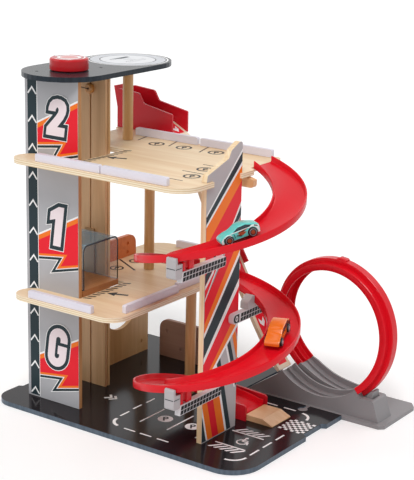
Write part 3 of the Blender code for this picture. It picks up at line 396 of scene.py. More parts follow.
def choose_only(piece):
    bpy.ops.object.select_all(action="DESELECT")
    piece.select_set(True)
    bpy.context.view_layer.objects.active = piece


def linked(name, data):
    """A new object in the scene, chosen for the next operator."""
    piece = bpy.data.objects.new(name, data)
    bpy.context.scene.collection.objects.link(piece)
    choose_only(piece)
    return piece


def smoothed(piece, finish, body, angle=40):
    """Finishes a mesh: its place goes into its points, its edges over an angle stay sharp."""
    choose_only(piece)
    bpy.ops.object.transform_apply(location=True, rotation=True, scale=True)
    bpy.ops.object.shade_smooth_by_angle(angle=math.radians(angle))
    piece.data.materials.append(FINISH[finish])
    if body:
        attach(piece, body)
    return piece


def flat_shape(name, outlines, thick, round_edge=0.0):
    """A level sheet cut to outlines in millimetres, where an inner outline is a hole."""
    data = bpy.data.curves.new(name, "CURVE")
    data.dimensions = "2D"
    data.fill_mode = "BOTH"
    data.extrude = (thick / 2 - round_edge) * MM
    data.bevel_depth = round_edge * MM
    data.bevel_resolution = 3
    data.offset = -round_edge * MM
    for outline in outlines:
        line = data.splines.new("POLY")
        line.points.add(len(outline) - 1)
        line.use_cyclic_u = True
        for spot, (u, v) in zip(line.points, outline):
            spot.co = (u * MM, v * MM, 0, 1)
    linked(name, data)
    bpy.ops.object.convert(target="MESH")
    return bpy.context.view_layer.objects.active


def placed_shape(piece, place, finish, body):
    """Moves a flat shape's own points to their place and gives it a finish and a body."""
    piece.data.transform(place)
    piece.data.materials.clear()
    piece.data.materials.append(FINISH[finish])
    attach(piece, body)
    return piece


FACING = {
    "up": Matrix.Identity(3),
    "front": Matrix(((1, 0, 0), (0, 0, -1), (0, 1, 0))),
    "right": Matrix(((0, 0, 1), (1, 0, 0), (0, 1, 0))),
}
PRINT_THICK = 0.12
PRINT_GAP = 0.03


def print_piece(name, outlines, facing, plane, finish, body="garage", layer=0):
    """Printed shapes as one thin sheet just proud of a face; layers lie on each other."""
    piece = flat_shape(name, outlines, PRINT_THICK)
    turn = FACING[facing]
    outward = turn @ Vector((0, 0, 1))
    axis = Vector([abs(part) for part in outward])
    rise = PRINT_GAP + PRINT_THICK * (layer + 0.5)
    spot = (axis * plane + outward * rise - CORNER) * MM
    return placed_shape(piece, Matrix.Translation(spot) @ turn.to_4x4(), finish, body)


def skinned(name, patches, ring=False):
    """A mesh over rows of points, as open strips, or as a tube with both ends closed."""
    points, faces = [], []
    for rows in patches:
        count = len(rows[0])
        starts = [len(points) + k * count for k in range(len(rows))]
        for a, b in zip(starts, starts[1:]):
            for i in range(count if ring else count - 1):
                j = (i + 1) % count
                faces.append((a + i, a + j, b + j, b + i))
        if ring:
            faces += [range(start, start + count) for start in (starts[0], starts[-1])]
        points += [at(*p) for row in rows for p in row]
    mesh = bpy.data.meshes.new(name)
    mesh.from_pydata(points, [], faces)
    piece = linked(name, mesh)
    bpy.ops.object.mode_set(mode="EDIT")
    bpy.ops.mesh.select_all(action="SELECT")
    bpy.ops.mesh.normals_make_consistent(inside=False)
    bpy.ops.object.mode_set(mode="OBJECT")
    return piece


def bar(u0, v0, u1, v1, width):
    """Outline of a straight printed line."""
    along = Vector((u1 - u0, v1 - v0)).normalized() * width / 2
    side = Vector((-along.y, along.x))
    return [(u0 + side.x, v0 + side.y), (u0 - side.x, v0 - side.y),
            (u1 - side.x, v1 - side.y), (u1 + side.x, v1 + side.y)]


def disc(u, v, radius, sides=40):
    return [(u + radius * math.cos(2 * math.pi * k / sides),
             v + radius * math.sin(2 * math.pi * k / sides)) for k in range(sides)]


def arc_chain(u, v, radius, start, end, steps=12):
    """Points along an arc between two angles in degrees."""
    angles = [math.radians(start + (end - start) * k / steps) for k in range(steps + 1)]
    return [(u + radius * math.cos(a), v + radius * math.sin(a)) for a in angles]


def arc_band(u, v, radius, width, start, end, steps=14):
    """Part of a ring between two angles in degrees."""
    outer, inner = (arc_chain(u, v, radius + side * width / 2, start, end, steps)
                    for side in (1, -1))
    return outer + inner[::-1]


def moved(outline, du, dv, turn=0.0, size=1.0):
    """An outline scaled and turned about its own centre, then moved."""
    c, s = size * math.cos(math.radians(turn)), size * math.sin(math.radians(turn))
    return [(du + u * c - v * s, dv + u * s + v * c) for u, v in outline]


# Printed signs, drawn about their own centre, 10 units high

def letter_p(width):
    """The strokes of a P: stem, bowl, and the two short bars between them."""
    stem, inside, end = -2.6, -2.6 + width, 0.5
    bars = [[(inside, v + width / 2), (inside, v - width / 2), (end, v - width / 2),
             (end, v + width / 2)] for v in (4.3, -0.1)]
    return [[(stem, -5), (inside, -5), (inside, 5), (stem, 5)],
            arc_band(0.4, 2.1, 2.2, width, -90, 90, 10)] + bars


def parking_sign(name, u, v):
    """A white disc on the base board with a black P, turned to the bay."""
    radius, turn = 10.2, 35
    print_piece(name + "_disc", [disc(u, v, radius)], "up", GROUND, "white ink")
    for k, part in enumerate(letter_p(1.9)):
        print_piece(f"{name}_letter_{k}", [moved(part, u, v, turn, radius * 0.12)], "up",
                    GROUND, "black ink", layer=1)


# Tower front panel: slate strip with chevrons, slanting bands and numerals

PANEL_LOW, PANEL_HIGH = 8.5, 440.0
STRIP_LEFT, STRIP_RIGHT, STRIP_LINE = 35.5, 51.0, 1.2
PANEL_RIGHT = 119.6
CHEVRON_TOP, CHEVRON_PITCH, CHEVRON_RISE = 418.4, 37.05, 8.5


def line_meeting(a, b, c, d):
    """Where the line a-b meets the line c-d."""
    r, t = b - a, d - c
    share = ((c - a).x * t.y - (c - a).y * t.x) / (r.x * t.y - r.y * t.x)
    return a + r * share


def pushed(points, distance):
    """Moves an open chain of points to its right-hand side, corners mitred."""
    spots = [Vector(p) for p in points]
    sides = []
    for first, second in zip(spots, spots[1:]):
        along = (second - first).normalized()
        shift = Vector((along.y, -along.x)) * distance
        sides.append((first + shift, second + shift))
    moved_on = [sides[0][0]]
    for (a, b), (c, d) in zip(sides, sides[1:]):
        # Two edges almost in line don't meet at one point, so the first one's end is kept.
        cross = (b - a).normalized().cross((d - c).normalized())
        moved_on.append(line_meeting(a, b, c, d) if abs(cross) > 0.02 else b)
    moved_on.append(sides[-1][1])
    return [tuple(p) for p in moved_on]


def stroke(points, width):
    """Outline of a line of even width along an open chain, with square ends."""
    return pushed(points, width / 2) + pushed(points, -width / 2)[::-1]


def upright_band(left, right):
    """Outline of a band over the whole height of the tower panel."""
    return [(left, PANEL_LOW), (right, PANEL_LOW), (right, PANEL_HIGH), (left, PANEL_HIGH)]


def tower_chevrons():
    """The slate strip at the panel's left edge, its twelve arrowheads and a white line."""
    strip = upright_band(STRIP_LEFT, STRIP_RIGHT)
    print_piece("tower_strip_print", [strip], "front", TOWER_FACE, "slate ink")
    left, right = STRIP_LEFT + 0.7, STRIP_RIGHT - 0.8
    marks = []
    for k in range(12):
        v = CHEVRON_TOP - k * CHEVRON_PITCH
        marks.append(stroke([(left, v), ((left + right) / 2, v + CHEVRON_RISE), (right, v)],
                            2.1))
    print_piece("tower_chevron_print", marks, "front", TOWER_FACE, "white ink", layer=1)
    line = upright_band(STRIP_RIGHT, STRIP_RIGHT + STRIP_LINE)
    print_piece("tower_strip_line_print", [line], "front", TOWER_FACE, "white ink")


FIELD_LEFT = STRIP_RIGHT + STRIP_LINE
FIELD_FOOT = [(FIELD_LEFT, 0), (99, 6.5), (87, -11.5), (PANEL_RIGHT, -3.5)]
FIELD_RISE, FIELD_CLIMB = 26, 34


def tower_field(name, foot):
    """A red field with an orange rim that climbs to the right and ends in a sharp step."""
    layers = (("white ink", 7.4, -14), ("slate ink", 6.2, -14), ("white ink", 3.0, 2.6),
              ("orange ink", 1.8, 0), ("red ink", -1.2, -6.4))
    for depth, (finish, below, above) in enumerate(layers):
        chain = pushed(FIELD_FOOT, below)
        chain[0] = (FIELD_LEFT, chain[0][1])
        chain[-1] = (PANEL_RIGHT, chain[-1][1])
        outline = [(u, v + foot) for u, v in chain]
        top = foot + FIELD_RISE + above
        outline += [(PANEL_RIGHT, top + FIELD_CLIMB), (FIELD_LEFT, top)]
        print_piece(f"{name}_{depth}", [outline], "front", TOWER_FACE, finish, layer=depth)


def tower_bands():
    """One field behind each level's numeral."""
    for level, foot in (("g", 42.0), ("1", 207.5), ("2", 355.5)):
        tower_field("tower_field_" + level, foot)


# The numerals' fills, about 10 units high; the outlines grow from them.
TWO_FILL = [
    (-3.1, 1.7), (-3.1, 2.6), (-2.7, 3.9), (-1.8, 4.8), (-0.4, 5.2), (0.9, 5.1), (2.2, 4.6),
    (3.0, 3.6), (3.2, 2.4), (3.0, 1.2), (2.3, -0.2), (0.5, -2.5), (3.2, -2.5), (3.2, -5.0),
    (-3.2, -5.0), (-3.2, -2.9), (-0.4, 0.4), (0.4, 1.6), (0.5, 2.3), (0.2, 2.85),
    (-0.2, 2.85), (-0.5, 2.4), (-0.6, 1.7),
]
TWO_NOTCH = (0.7, 1.7)
ONE_FILL = [(-0.7, -5.2), (1.75, -5.2), (1.75, 5), (0, 5), (-2.5, 3.4), (-2.5, 1.2),
            (-0.7, 1.75)]


def grown(outline, distance):
    """Moves a closed outline outwards, corners mitred."""
    area = sum(a * d - b * c for (a, b), (c, d) in zip(outline, outline[1:] + outline[:1]))
    loop = outline[-1:] + outline + outline[:1]
    return pushed(loop, math.copysign(distance, area))[1:-1]


def numeral_shape(character, extra):
    """The fill of a bold numeral, or its outline where extra widens it all round."""
    if character == "G" and extra:
        side = 3.05 + extra
        return arc_chain(0, 2.2, side, 0, 180) + arc_chain(0, -2.2, side, 180, 360)
    if character == "G":
        chain = ([(1.9, 1.5)] + arc_chain(0, 2.2, 1.9, 0, 180)
                 + arc_chain(0, -2.2, 1.9, 180, 360) + [(1.9, -0.55), (0.1, -0.55)])
        return stroke(chain, 2.3)
    if not extra:
        return TWO_FILL if character == "2" else ONE_FILL
    # Outside, the 2 has one small notch in place of the deep one in its fill.
    return grown(TWO_FILL[:16] + [TWO_NOTCH] if character == "2" else ONE_FILL, extra)


def numeral(name, character, u, v, height):
    """A heavy slanted numeral: white rim, slate outline and pale fill."""
    slant, scale = 0.13, height / 10
    layers = (("white ink", 1.2), ("slate ink", 1.0), ("numeral ink", 0.0))
    for depth, (finish, extra) in enumerate(layers):
        outline = [(u + (a + b * slant) * scale, v + b * scale)
                   for a, b in numeral_shape(character, extra)]
        print_piece(f"{name}_{depth}", [outline], "front", TOWER_FACE, finish,
                    layer=5 + depth)


def tower_numerals():
    """The levels' numerals, by the middle and height of each."""
    numeral("number_two", "2", 85.2, 392.3, 47)
    numeral("number_one", "1", 84.5, 251, 52)
    numeral("letter_ground", "G", 84.0, 85, 52)


# Striped side panel: slanting bands across a gray board

PANEL_SIDES = (46.9, 120.3)
PANEL_FOOT, PANEL_CREST, FAN_CREST = 8.0, 380.0, 138.0


def clip_outline(outline, low_v, high_v):
    """Cuts a convex outline to the board's width and to two heights."""
    edges = ((0, PANEL_SIDES[0], 1), (0, PANEL_SIDES[1], -1), (1, low_v, 1), (1, high_v, -1))
    for axis, limit, sign in edges:
        kept = []
        for i, here in enumerate(outline):
            before = outline[i - 1]
            inside = (here[axis] - limit) * sign >= 0
            was_inside = (before[axis] - limit) * sign >= 0
            if inside != was_inside:
                share = (limit - before[axis]) / (here[axis] - before[axis])
                kept.append(tuple(before[j] + share * (here[j] - before[j]) for j in (0, 1)))
            if inside:
                kept.append(here)
        outline = kept
    return outline


def side_limit(u):
    """Height of the board's printed face under its sloping crest."""
    if u < 92:
        return 349.5 + (u - 48) * 0.32
    return 364 if u < 97 else 373 if u < 110 else PANEL_CREST


def panel_print(kind, name, outline, layer):
    """One stripe on the panel, in the ink that its name starts with."""
    ink = name.split("_")[0] + " ink"
    print_piece(f"side_{kind}_{name}", [outline], "right", SIDE_FACE, ink, layer=layer)


def side_band(name, left, right):
    """A band across the board: its low and high edge at the left side and at the right."""
    near, far = PANEL_SIDES
    outline = [(near, left[0]), (far, right[0]), (far, right[1]), (near, left[1])]
    outline = clip_outline(outline, PANEL_FOOT, PANEL_CREST)
    panel_print("band", name, [(u, min(v, side_limit(u))) for u, v in outline], 2)


def side_panel_print():
    """Bands that climb to the right, the slivers where they cross, and the fan below."""
    for band in (
            ("slate_top", (290, 299), (356, 368)),
            ("white_top", (299, 302), (368, 372)),
            ("white_top_low", (286, 290), (351, 356)),
            ("orange_top", (262, 286), (332, 351)),
            ("red_top", (196, 262), (304, 332)),
            ("white_mid", (193, 196), (300, 304)),
            ("red_mid", (164, 193), (262, 285)),
            ("orange_mid", (152, 164), (243, 262)),
            ("white_low", (146, 152), (236, 243)),
            ("slate_low", (120, 146), (206, 236)),
            ("white_foot", (112, 120), (196, 206)),
            ("red_foot", (88, 112), (166, 196)),
            ("orange_foot", (83, 88), (150, 166)),
            ("white_last", (79, 83), (144, 150))):
        side_band(*band)
    for name, outline in (
            ("slate", [(88, 258), (120.3, 300), (120.3, 288)]),
            ("white", [(80, 246), (120.3, 303), (120.3, 306), (76, 243)]),
            ("slate_b", [(47, 226), (70, 254), (60, 228), (47, 214)]),
            ("white_b", [(47, 213), (62, 229), (74, 257), (64, 226), (47, 208)])):
        panel_print("splinter", name, outline, 3)
    side_fan()


def side_fan():
    """Bands that spread downwards from the crossing to the foot of the board."""
    lean = -34
    fans = (("slate_a", 47, 56), ("white_a", 56, 59), ("orange_a", 59, 70), ("red_a", 70, 83),
            ("orange_b", 83, 97), ("white_b", 97, 101), ("slate_b", 101, 110))
    for name, near, far in fans:
        outline = [(near, PANEL_FOOT), (far, PANEL_FOOT), (far + lean, FAN_CREST),
                   (near + lean, FAN_CREST)]
        panel_print("fan", name, clip_outline(outline, PANEL_FOOT, FAN_CREST), 0)
    for name, outline in (
            ("white", [(89, 138), (93, 138), (118, 62), (115, 62)]),
            ("slate", [(93, 138), (101, 138), (120.3, 78), (120.3, 66), (118, 62)]),
            ("orange", [(104, 148), (112, 152), (120.3, 118), (120.3, 96)]),
            ("red", [(108, 160), (120.3, 168), (120.3, 128)])):
        panel_print("corner", name, outline, 1)


# Base board print: a lane in dashes round the parking bays

LANE_WIDTH = 2.4
CHECK_SIZE, CHECK_GAP = 4.45, 0.1


def base_print():
    """White lane dashes with round corners, slashes, a checkered patch and four signs."""
    lines = [bar(u0, v0, u1, v1, LANE_WIDTH) for u0, v0, u1, v1 in (
        (175, 112, 175, 130), (174.5, 84, 174.5, 102), (176, 55, 176, 74),
        (205, 26.5, 223, 26.5), (231, 26.5, 249, 26.5), (258, 26.5, 276, 26.5),
        (208, 56, 208, 108), (251.5, 56, 251.5, 114), (295, 58, 295, 110),
        (318, 107, 366, 107), (321, 65, 366, 65),
        (378.5, 57, 378.5, 77), (378.5, 86, 378.5, 106), (378.5, 115.5, 378.5, 135),
        (300, 212.4, 319, 212.4), (329, 212.4, 347.6, 212.4),
    )]
    corners = [arc_band(196, 46, 18, 4.0, 180, 262), arc_band(360, 48, 19, 3.0, 270, 360),
               arc_band(358.7, 193.5, 16.8, 3.4, 0, 88)]
    print_piece("base_lane_print", lines + corners, "up", GROUND, "white ink")
    slashes = []
    for k in range(5):
        for foot, lean, crest in ((109.5, 9.9, 121.5), (49, 10.9, 62.5)):
            u = 320 + k * 8.4
            slashes.append([(u, foot), (u + 3.6, foot), (u + 3.6 + lean, crest),
                            (u + lean, crest)])
    print_piece("base_hatch_print", slashes, "up", GROUND, "white ink")
    squares = []
    for i in range(8):
        for j in range(i % 2, 8, 2):
            u = 358.7 + i * (CHECK_SIZE + CHECK_GAP)
            v = 150.6 + j * (CHECK_SIZE + CHECK_GAP)
            squares.append([(u, v), (u + CHECK_SIZE, v), (u + CHECK_SIZE, v + CHECK_SIZE),
                            (u, v + CHECK_SIZE)])
    print_piece("base_checker_print", squares, "up", GROUND, "white ink")
    parking_sign("base_parking_a", 228.3, 83.5)
    parking_sign("base_parking_b", 271, 85)
    wheelchair_sign(348.5, 84)
    marks = [stroke([(u, 90), (u + 6.5, 97), (u, 104)], 3.4) for u in (120, 128)]
    print_piece("base_direction_print", marks, "up", GROUND, "white ink")


def wheelchair_sign(u, v):
    """A seated figure in a wheel: the wheel, back, arm, thigh and shin, and the head."""
    parts = [
        arc_band(u, v, 6.8, 1.9, 95, 400, 26),
        bar(u - 1, v + 2, u - 1, v + 10.5, 2.2),
        bar(u - 1, v + 6, u + 5.5, v + 6, 1.7),
        bar(u - 1, v + 2, u + 7.5, v + 2, 1.9),
        bar(u + 7.5, v + 2, u + 10, v - 4.5, 1.9),
    ]
    for k, part in enumerate(parts):
        print_piece(f"base_wheelchair_{k}", [part], "up", GROUND, "white ink", layer=k % 2)
    print_piece("base_wheelchair_head", [disc(u - 1, v + 13, 2.1, 20)], "up", GROUND,
                "white ink")


def arrow_sign(name, u, v, plane, size):
    """A short arrow that points out of the lift."""
    outline = [(-12, -2), (2, -2), (2, -6.5), (12, 0), (2, 6.5), (2, 2), (-12, 2)]
    print_piece(name, [moved(outline, u, v, 200, size)], "up", plane, "black ink")


# Deck prints

def deck_prints():
    """Bay lines and parking signs on both decks, and an arrow and dashes at the lift."""
    bays = [bar(u0, v0, u1, v1, 2.0) for u0, v0, u1, v1 in (
        (96, 190, 89, 224.6), (151, 185.6, 140, 222), (204, 181.4, 192, 224.5),
        (254, 181, 243, 222))]
    bays += [bar(250, v, 283, v, 1.7) for v in (38, 82, 126)]
    print_piece("level_2_bay_print", bays, "up", LEVEL_2, "brown ink")
    for k, (u, v) in enumerate(((130, 186.6), (172, 191), (222, 193.6), (277.5, 64),
                                (268, 105))):
        ring_sign(f"level_2_sign_{k}", u, v, 11.0, LEVEL_2)
    arrow_sign("level_2_arrow", 145, 84, LEVEL_2, 1.1)
    hatch_edge("level_2_hatch", LEVEL_2)
    bay = bar(50.2, 209.3, 98.9, 181.3, 2.8)
    print_piece("level_1_bay_print", [bay], "up", LEVEL_1, "black ink")
    ring_sign("level_1_sign_0", 72.7, 174, 10, LEVEL_1)
    ring_sign("level_1_sign_1", 72.5, 217.5, 10, LEVEL_1)
    hatch_edge("level_1_hatch", LEVEL_1)
    arrow_sign("level_1_arrow", 148, 83, LEVEL_1, 1.2)


def ring_sign(name, u, v, radius, plane):
    """A printed ring with a bold P inside."""
    print_piece(name + "_ring", [disc(u, v, radius), disc(u, v, radius * 0.76)], "up", plane,
                "black ink")
    for k, part in enumerate(letter_p(2.2)):
        print_piece(f"{name}_letter_{k}", [moved(part, u, v, 30, radius * 0.095)], "up",
                    plane, "black ink", layer=k % 2)


def hatch_edge(name, plane):
    """Short slanting dashes along the shaft's edge."""
    near, far, thick, lean = 123.5, 132.5, 3.8, 4.5
    dashes = []
    for k in range(10):
        v = 42 + k * 9
        dashes.append([(near, v), (near, v + thick), (far, v + thick + lean),
                       (far, v + lean)])
    print_piece(name, dashes, "up", plane, "black ink")


# Roof print: helipad, screw heads, and the ring and arrows on the knob

PAD_X, PAD_Y = 76, 192
KNOB_X, KNOB_Y = 76.5, 72


def ring(u, v, outer, inner, sides):
    """Outlines of a ring: the outer circle, and the inner one that is its hole."""
    return [disc(u, v, outer, sides), disc(u, v, inner, sides)]


def roof_print():
    """The helipad in rings with a big H, and the heads of three black screws."""
    for name, outlines, finish in (
            ("ring", ring(PAD_X, PAD_Y, 54.5, 52.4, 64), "white ink"),
            ("pad", ring(PAD_X, PAD_Y, 50.6, 38.2, 64), "pad ink"),
            ("centre", [disc(PAD_X, PAD_Y, 36.8, 64)], "pad centre ink")):
        print_piece(f"roof_{name}_print", outlines, "up", ROOF, finish)
    half_width, half_height, thick = 14, 18, 6
    letter = [bar(PAD_X + side * half_width, PAD_Y - half_height, PAD_X + side * half_width,
                  PAD_Y + half_height, thick) for side in (-1, 1)]
    letter.append(bar(PAD_X - half_width + thick / 2, PAD_Y, PAD_X + half_width - thick / 2,
                      PAD_Y, thick))
    print_piece("roof_letter_print", letter, "up", ROOF, "slate ink", layer=1)
    heads = [disc(u, v, 2.2, 16) for u, v in ((53.6, 36.2), (98.9, 44.2), (92.8, 115.3))]
    print_piece("roof_screw_print", heads, "up", ROOF, "black ink")


def knob_print():
    """A white ring round a pink middle, and three arrows that chase each other."""
    print_piece("knob_ring_print", ring(KNOB_X, KNOB_Y, 15.5, 11.5, 48), "up", KNOB_TOP,
                "white ink", "knob")
    print_piece("knob_centre_print", [disc(KNOB_X, KNOB_Y, 11.2, 48)], "up", KNOB_TOP,
                "pink ink", "knob")
    radius = 20
    shaft = arc_band(0, 0, radius, 2.2, 10, 70, 8)
    (tip, tip_side), (base, base_side) = [(radius * math.cos(a), radius * math.sin(a))
                                          for a in (1.4, 1.2)]
    head = [(tip - 3.4, tip_side), (base + 1.5, base_side - 3.2), (base + 2.4, base_side + 3.6)]
    arrows = [moved(part, KNOB_X, KNOB_Y, turn) for turn in (0, 120, 240)
              for part in (shaft, head)]
    print_piece("knob_arrow_print", arrows, "up", KNOB_TOP, "white ink", "knob")


# Checkered beams, the tabs that hold the track on them, and the clips' joint lines

TILE_PITCH, TILE_ROW, TILE_HEIGHT, TILE_LEAN = 6.2, 5.8, 4.9, 0.9
SHIELD_X, SHIELD_Z = 106.8, 157.3


def beam_checks():
    """Two rows of slanting black tiles on each beam, and a shield at the rear beam's end."""
    for name, near, far in (("upper", -9.6, 79.0), ("lower", -9.6, 75.0),
                            ("back", 114.5, 165.0)):
        foot = face_of("checkered_beam_" + name, "z", LOW) + 0.9
        count = int((far - near) / TILE_PITCH)
        step = (far - near) / count
        tiles = []
        for i in range(count):
            for j in range(2):
                u, v = near + i * step + 0.5 + j * TILE_LEAN, foot + j * TILE_ROW
                tiles.append([(u, v), (u + step - 1.0, v),
                              (u + step - 1.0 + TILE_LEAN, v + TILE_HEIGHT),
                              (u + TILE_LEAN, v + TILE_HEIGHT)])
        print_piece(f"beam_{name}_check_print", tiles, "right", BEAM_FACE, "black ink")
    shield = (arc_chain(SHIELD_X - 1.3, SHIELD_Z, 5.4, 90, 270, 10)
              + [(112.5, SHIELD_Z - 5.4), (112.5, SHIELD_Z + 5.4)])
    print_piece("beam_back_shield_print", [shield], "right", BEAM_FACE, "black ink")
    circle = disc(0, 0, 1, 24)
    letter = [[(SHIELD_X + a * wide, SHIELD_Z + b * high) for a, b in circle]
              for wide, high in ((2.7, 3.6), (1.485, 2.232))]
    print_piece("beam_back_ring_print", letter, "right", BEAM_FACE, "white ink", layer=1)


def block(name, low, high, finish, edge):
    """A moulded block with rounded edges between two corner points."""
    size = [(b - a) * MM for a, b in zip(low, high)]
    centre = at(*[(a + b) / 2 for a, b in zip(low, high)])
    bpy.ops.object.select_all(action="DESELECT")
    bpy.ops.mesh.primitive_cube_add(size=1, location=centre, scale=size)
    piece = bpy.context.view_layer.objects.active
    piece.name = name
    bpy.ops.object.transform_apply(location=True, rotation=True, scale=True)
    rounding = piece.modifiers.new("rounded edges", "BEVEL")
    rounding.width = edge * MM
    rounding.segments = 3
    rounding.limit_method = "NONE"
    bpy.ops.object.modifier_apply(modifier=rounding.name)
    return smoothed(piece, finish, "garage")


def cylinder(name, radius, depth, sides, centre):
    """An upright cylinder, in metres."""
    bpy.ops.object.select_all(action="DESELECT")
    bpy.ops.mesh.primitive_cylinder_add(vertices=sides, radius=radius, depth=depth,
                                        location=centre)
    piece = bpy.context.view_layer.objects.active
    piece.name = name
    return piece


def cord_fall():
    """The lift cord below the eyelet, as one fixed cylinder shown in place of the imported node.
    """
    low, high = (Vector(corner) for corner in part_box("lift_cord_fall"))
    centre = (low + high) / 2
    piece = cylinder("lift_cord_fall_shown", (high.x - low.x) / 2, high.z - low.z, 20, centre)
    smoothed(piece, "cord", None)
    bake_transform(piece)
    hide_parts("lift_cord_fall")


def beam_tabs():
    """Red tabs under the track that hook over the two front beams."""
    for name, low, high in (("upper", 246.3, 257.0), ("lower", 78.3, 93.6)):
        for k, (near, far) in enumerate(((-8.0, -3.0), (4.0, 14.0))):
            block(f"track_tab_{name}_{k}", (313.6, near, low), (319.4, far, high),
                  "red plastic", 0.5)


def clip_lines():
    """The dark joint line round each front clip, where its two halves meet."""
    thick = 0.9
    for name in ("upper", "lower"):
        clip = "clip_" + name
        line = face_of(clip, "z", LOW) + 12.5
        left, right = face_of(clip, "x", LOW) + 0.8, face_of(clip, "x", HIGH)
        near, far = face_of(clip, "y", LOW), face_of(clip, "y", HIGH)
        for side, start, end, facing, plane in (
                ("front", left, right - 0.8, "front", near),
                ("side", near + 0.6, far - 1.6, "right", right)):
            outline = [(start, line), (end, line), (end, line + thick), (start, line + thick)]
            print_piece(f"{clip}_line_{side}", [outline], facing, plane, "slate ink")


# Ramp print

RAMP_PATH = [
    (60, 365), (75, 360), (91, 353.5), (115, 341), (127, 332), (135, 323), (142, 311.5),
    (149, 296.5), (157.5, 274.6), (171, 245.6), (191, 210.6), (215, 170.6),
    (239, 129.6), (257, 98.6), (273, 72.6), (286, 54.6), (298, 41.4),
]


def path_point(share):
    """Point and direction on the ramp's upper face, in x and z, at a share of its length."""
    spots = [Vector(p) for p in RAMP_PATH]
    lengths = [(b - a).length for a, b in zip(spots, spots[1:])]
    left = share * sum(lengths)
    for a, b, size in zip(spots, spots[1:], lengths):
        if left <= size:
            return a + (b - a) * left / size, (b - a).normalized()
        left -= size
    return spots[-1], (spots[-1] - spots[-2]).normalized()


def on_ramp(share, y, height):
    """A point over the ramp's face at a share of its length."""
    spot, along = path_point(share)
    raised = spot + Vector((-along.y, along.x)) * height
    return raised.x, y, raised.y


def ramp_print(name, patches, finish):
    """Gives open strips over the ramp's face the thickness of a print."""
    piece = skinned(name, patches)
    solid = piece.modifiers.new("thickness", "SOLIDIFY")
    solid.thickness = 0.1 * MM
    solid.offset = 0
    bpy.ops.object.modifier_apply(modifier=solid.name)
    piece.data.materials.append(FINISH[finish])
    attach(piece, "garage")


def ramp_ribbon():
    """The red lane down the middle of the ramp."""
    start, end, steps = 0.015, 0.985, 40
    rows = [[on_ramp(start + (end - start) * k / steps, y, 0.12) for y in (253.6, 272.4)]
            for k in range(steps + 1)]
    ramp_print("ramp_red_print", [rows], "red ink")


def ramp_chevrons():
    """White arrowheads down the red lane, as thin strips that follow its curve."""
    middle, half, rise = 262.8, 5.6, 0.32
    first, pitch, point, thick = 0.05, 0.051, 0.014, 0.018
    patches = []
    for k in range(18):
        share = first + k * pitch
        patches.append([[on_ramp(share + delay + extra, y, rise) for extra in (0.0, thick)]
                        for y, delay in ((middle - half, 0.0), (middle, point),
                                         (middle + half, 0.0))])
    ramp_print("ramp_chevron_print", patches, "white ink")


# Spiral track and loop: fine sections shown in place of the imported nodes

TRACK_X, TRACK_Y = 306.0, 84.0
TRACK_INNER, TRACK_OUTER = 62.0, 104.0
TRACK_START, TRACK_DROP = 341.5, 81.7
SHEET, JOINT = 2.3, 0.15


def rim(side, height, inward):
    """Half of the channel's profile: foot, outer face, rounded rim and floor fillet."""
    return [(side + inward * a, b) for a, b in (
        (1.0, -SHEET), (0.3, -SHEET + 0.3), (0.0, -SHEET + 1.0), (0.0, height - 1.1),
        (0.3, height - 0.35), (1.15, height), (SHEET - 0.3, height - 0.35),
        (SHEET, height - 1.1), (SHEET, 1.5), (SHEET + 0.45, 0.5), (SHEET + 1.6, 0.0))]


def fine_loft(name, sections, finish, node):
    """A smooth moulding through closed sections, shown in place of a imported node."""
    piece = smoothed(skinned(name, [sections], ring=True), finish, "garage")
    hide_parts(node)


def track_section(theta, floor, flare):
    """The channel's closed profile at one angle, its floor's height and its flare outwards."""
    profile = rim(TRACK_OUTER + flare, 7.5, -1) + rim(TRACK_INNER + flare, 7.5, 1)[::-1]
    return [(TRACK_X + math.cos(theta) * r, TRACK_Y + math.sin(theta) * r, floor + z)
            for r, z in profile]


def fine_track():
    """Four half turns down from level 2: the first flares out where cars come in."""
    steps, flare_end, flare_width, exit_length = 90, math.pi / 2, 10.0, 6.5
    joint = JOINT / TRACK_OUTER
    for turn in range(4):
        sections = []
        for k in range(steps + 1):
            travel = math.pi * k / steps + joint * (k == 0) - joint * (k == steps)
            theta = math.pi / 2 - turn * math.pi - travel
            floor = TRACK_START - TRACK_DROP * (turn + travel / math.pi)
            flare = flare_width * max(1 - travel / flare_end, 0) ** 2 if turn == 0 else 0.0
            sections.append(track_section(theta, floor, flare))
        if turn == 3:
            sections.append([(x + exit_length, y, z) for x, y, z in sections[-1]])
        fine_loft(f"fine_track_{turn + 1}", sections, "red plastic", f"track_half_{turn + 1}")


LOOP_X, LOOP_Z = 361.0, 106.5
LOOP_INNER, LOOP_LEDGE, LOOP_OUTER = 82.0, 91.4, 97.3
LOOP_FOOT = 49.5
LOOP_NEAR, LOOP_SHIFT, LOOP_WIDTH = 246.7, 42.0, 32.1


def loop_near(share):
    """The near edge of the channel, which moves to the rear lane on its way round."""
    return LOOP_NEAR + LOOP_SHIFT * share


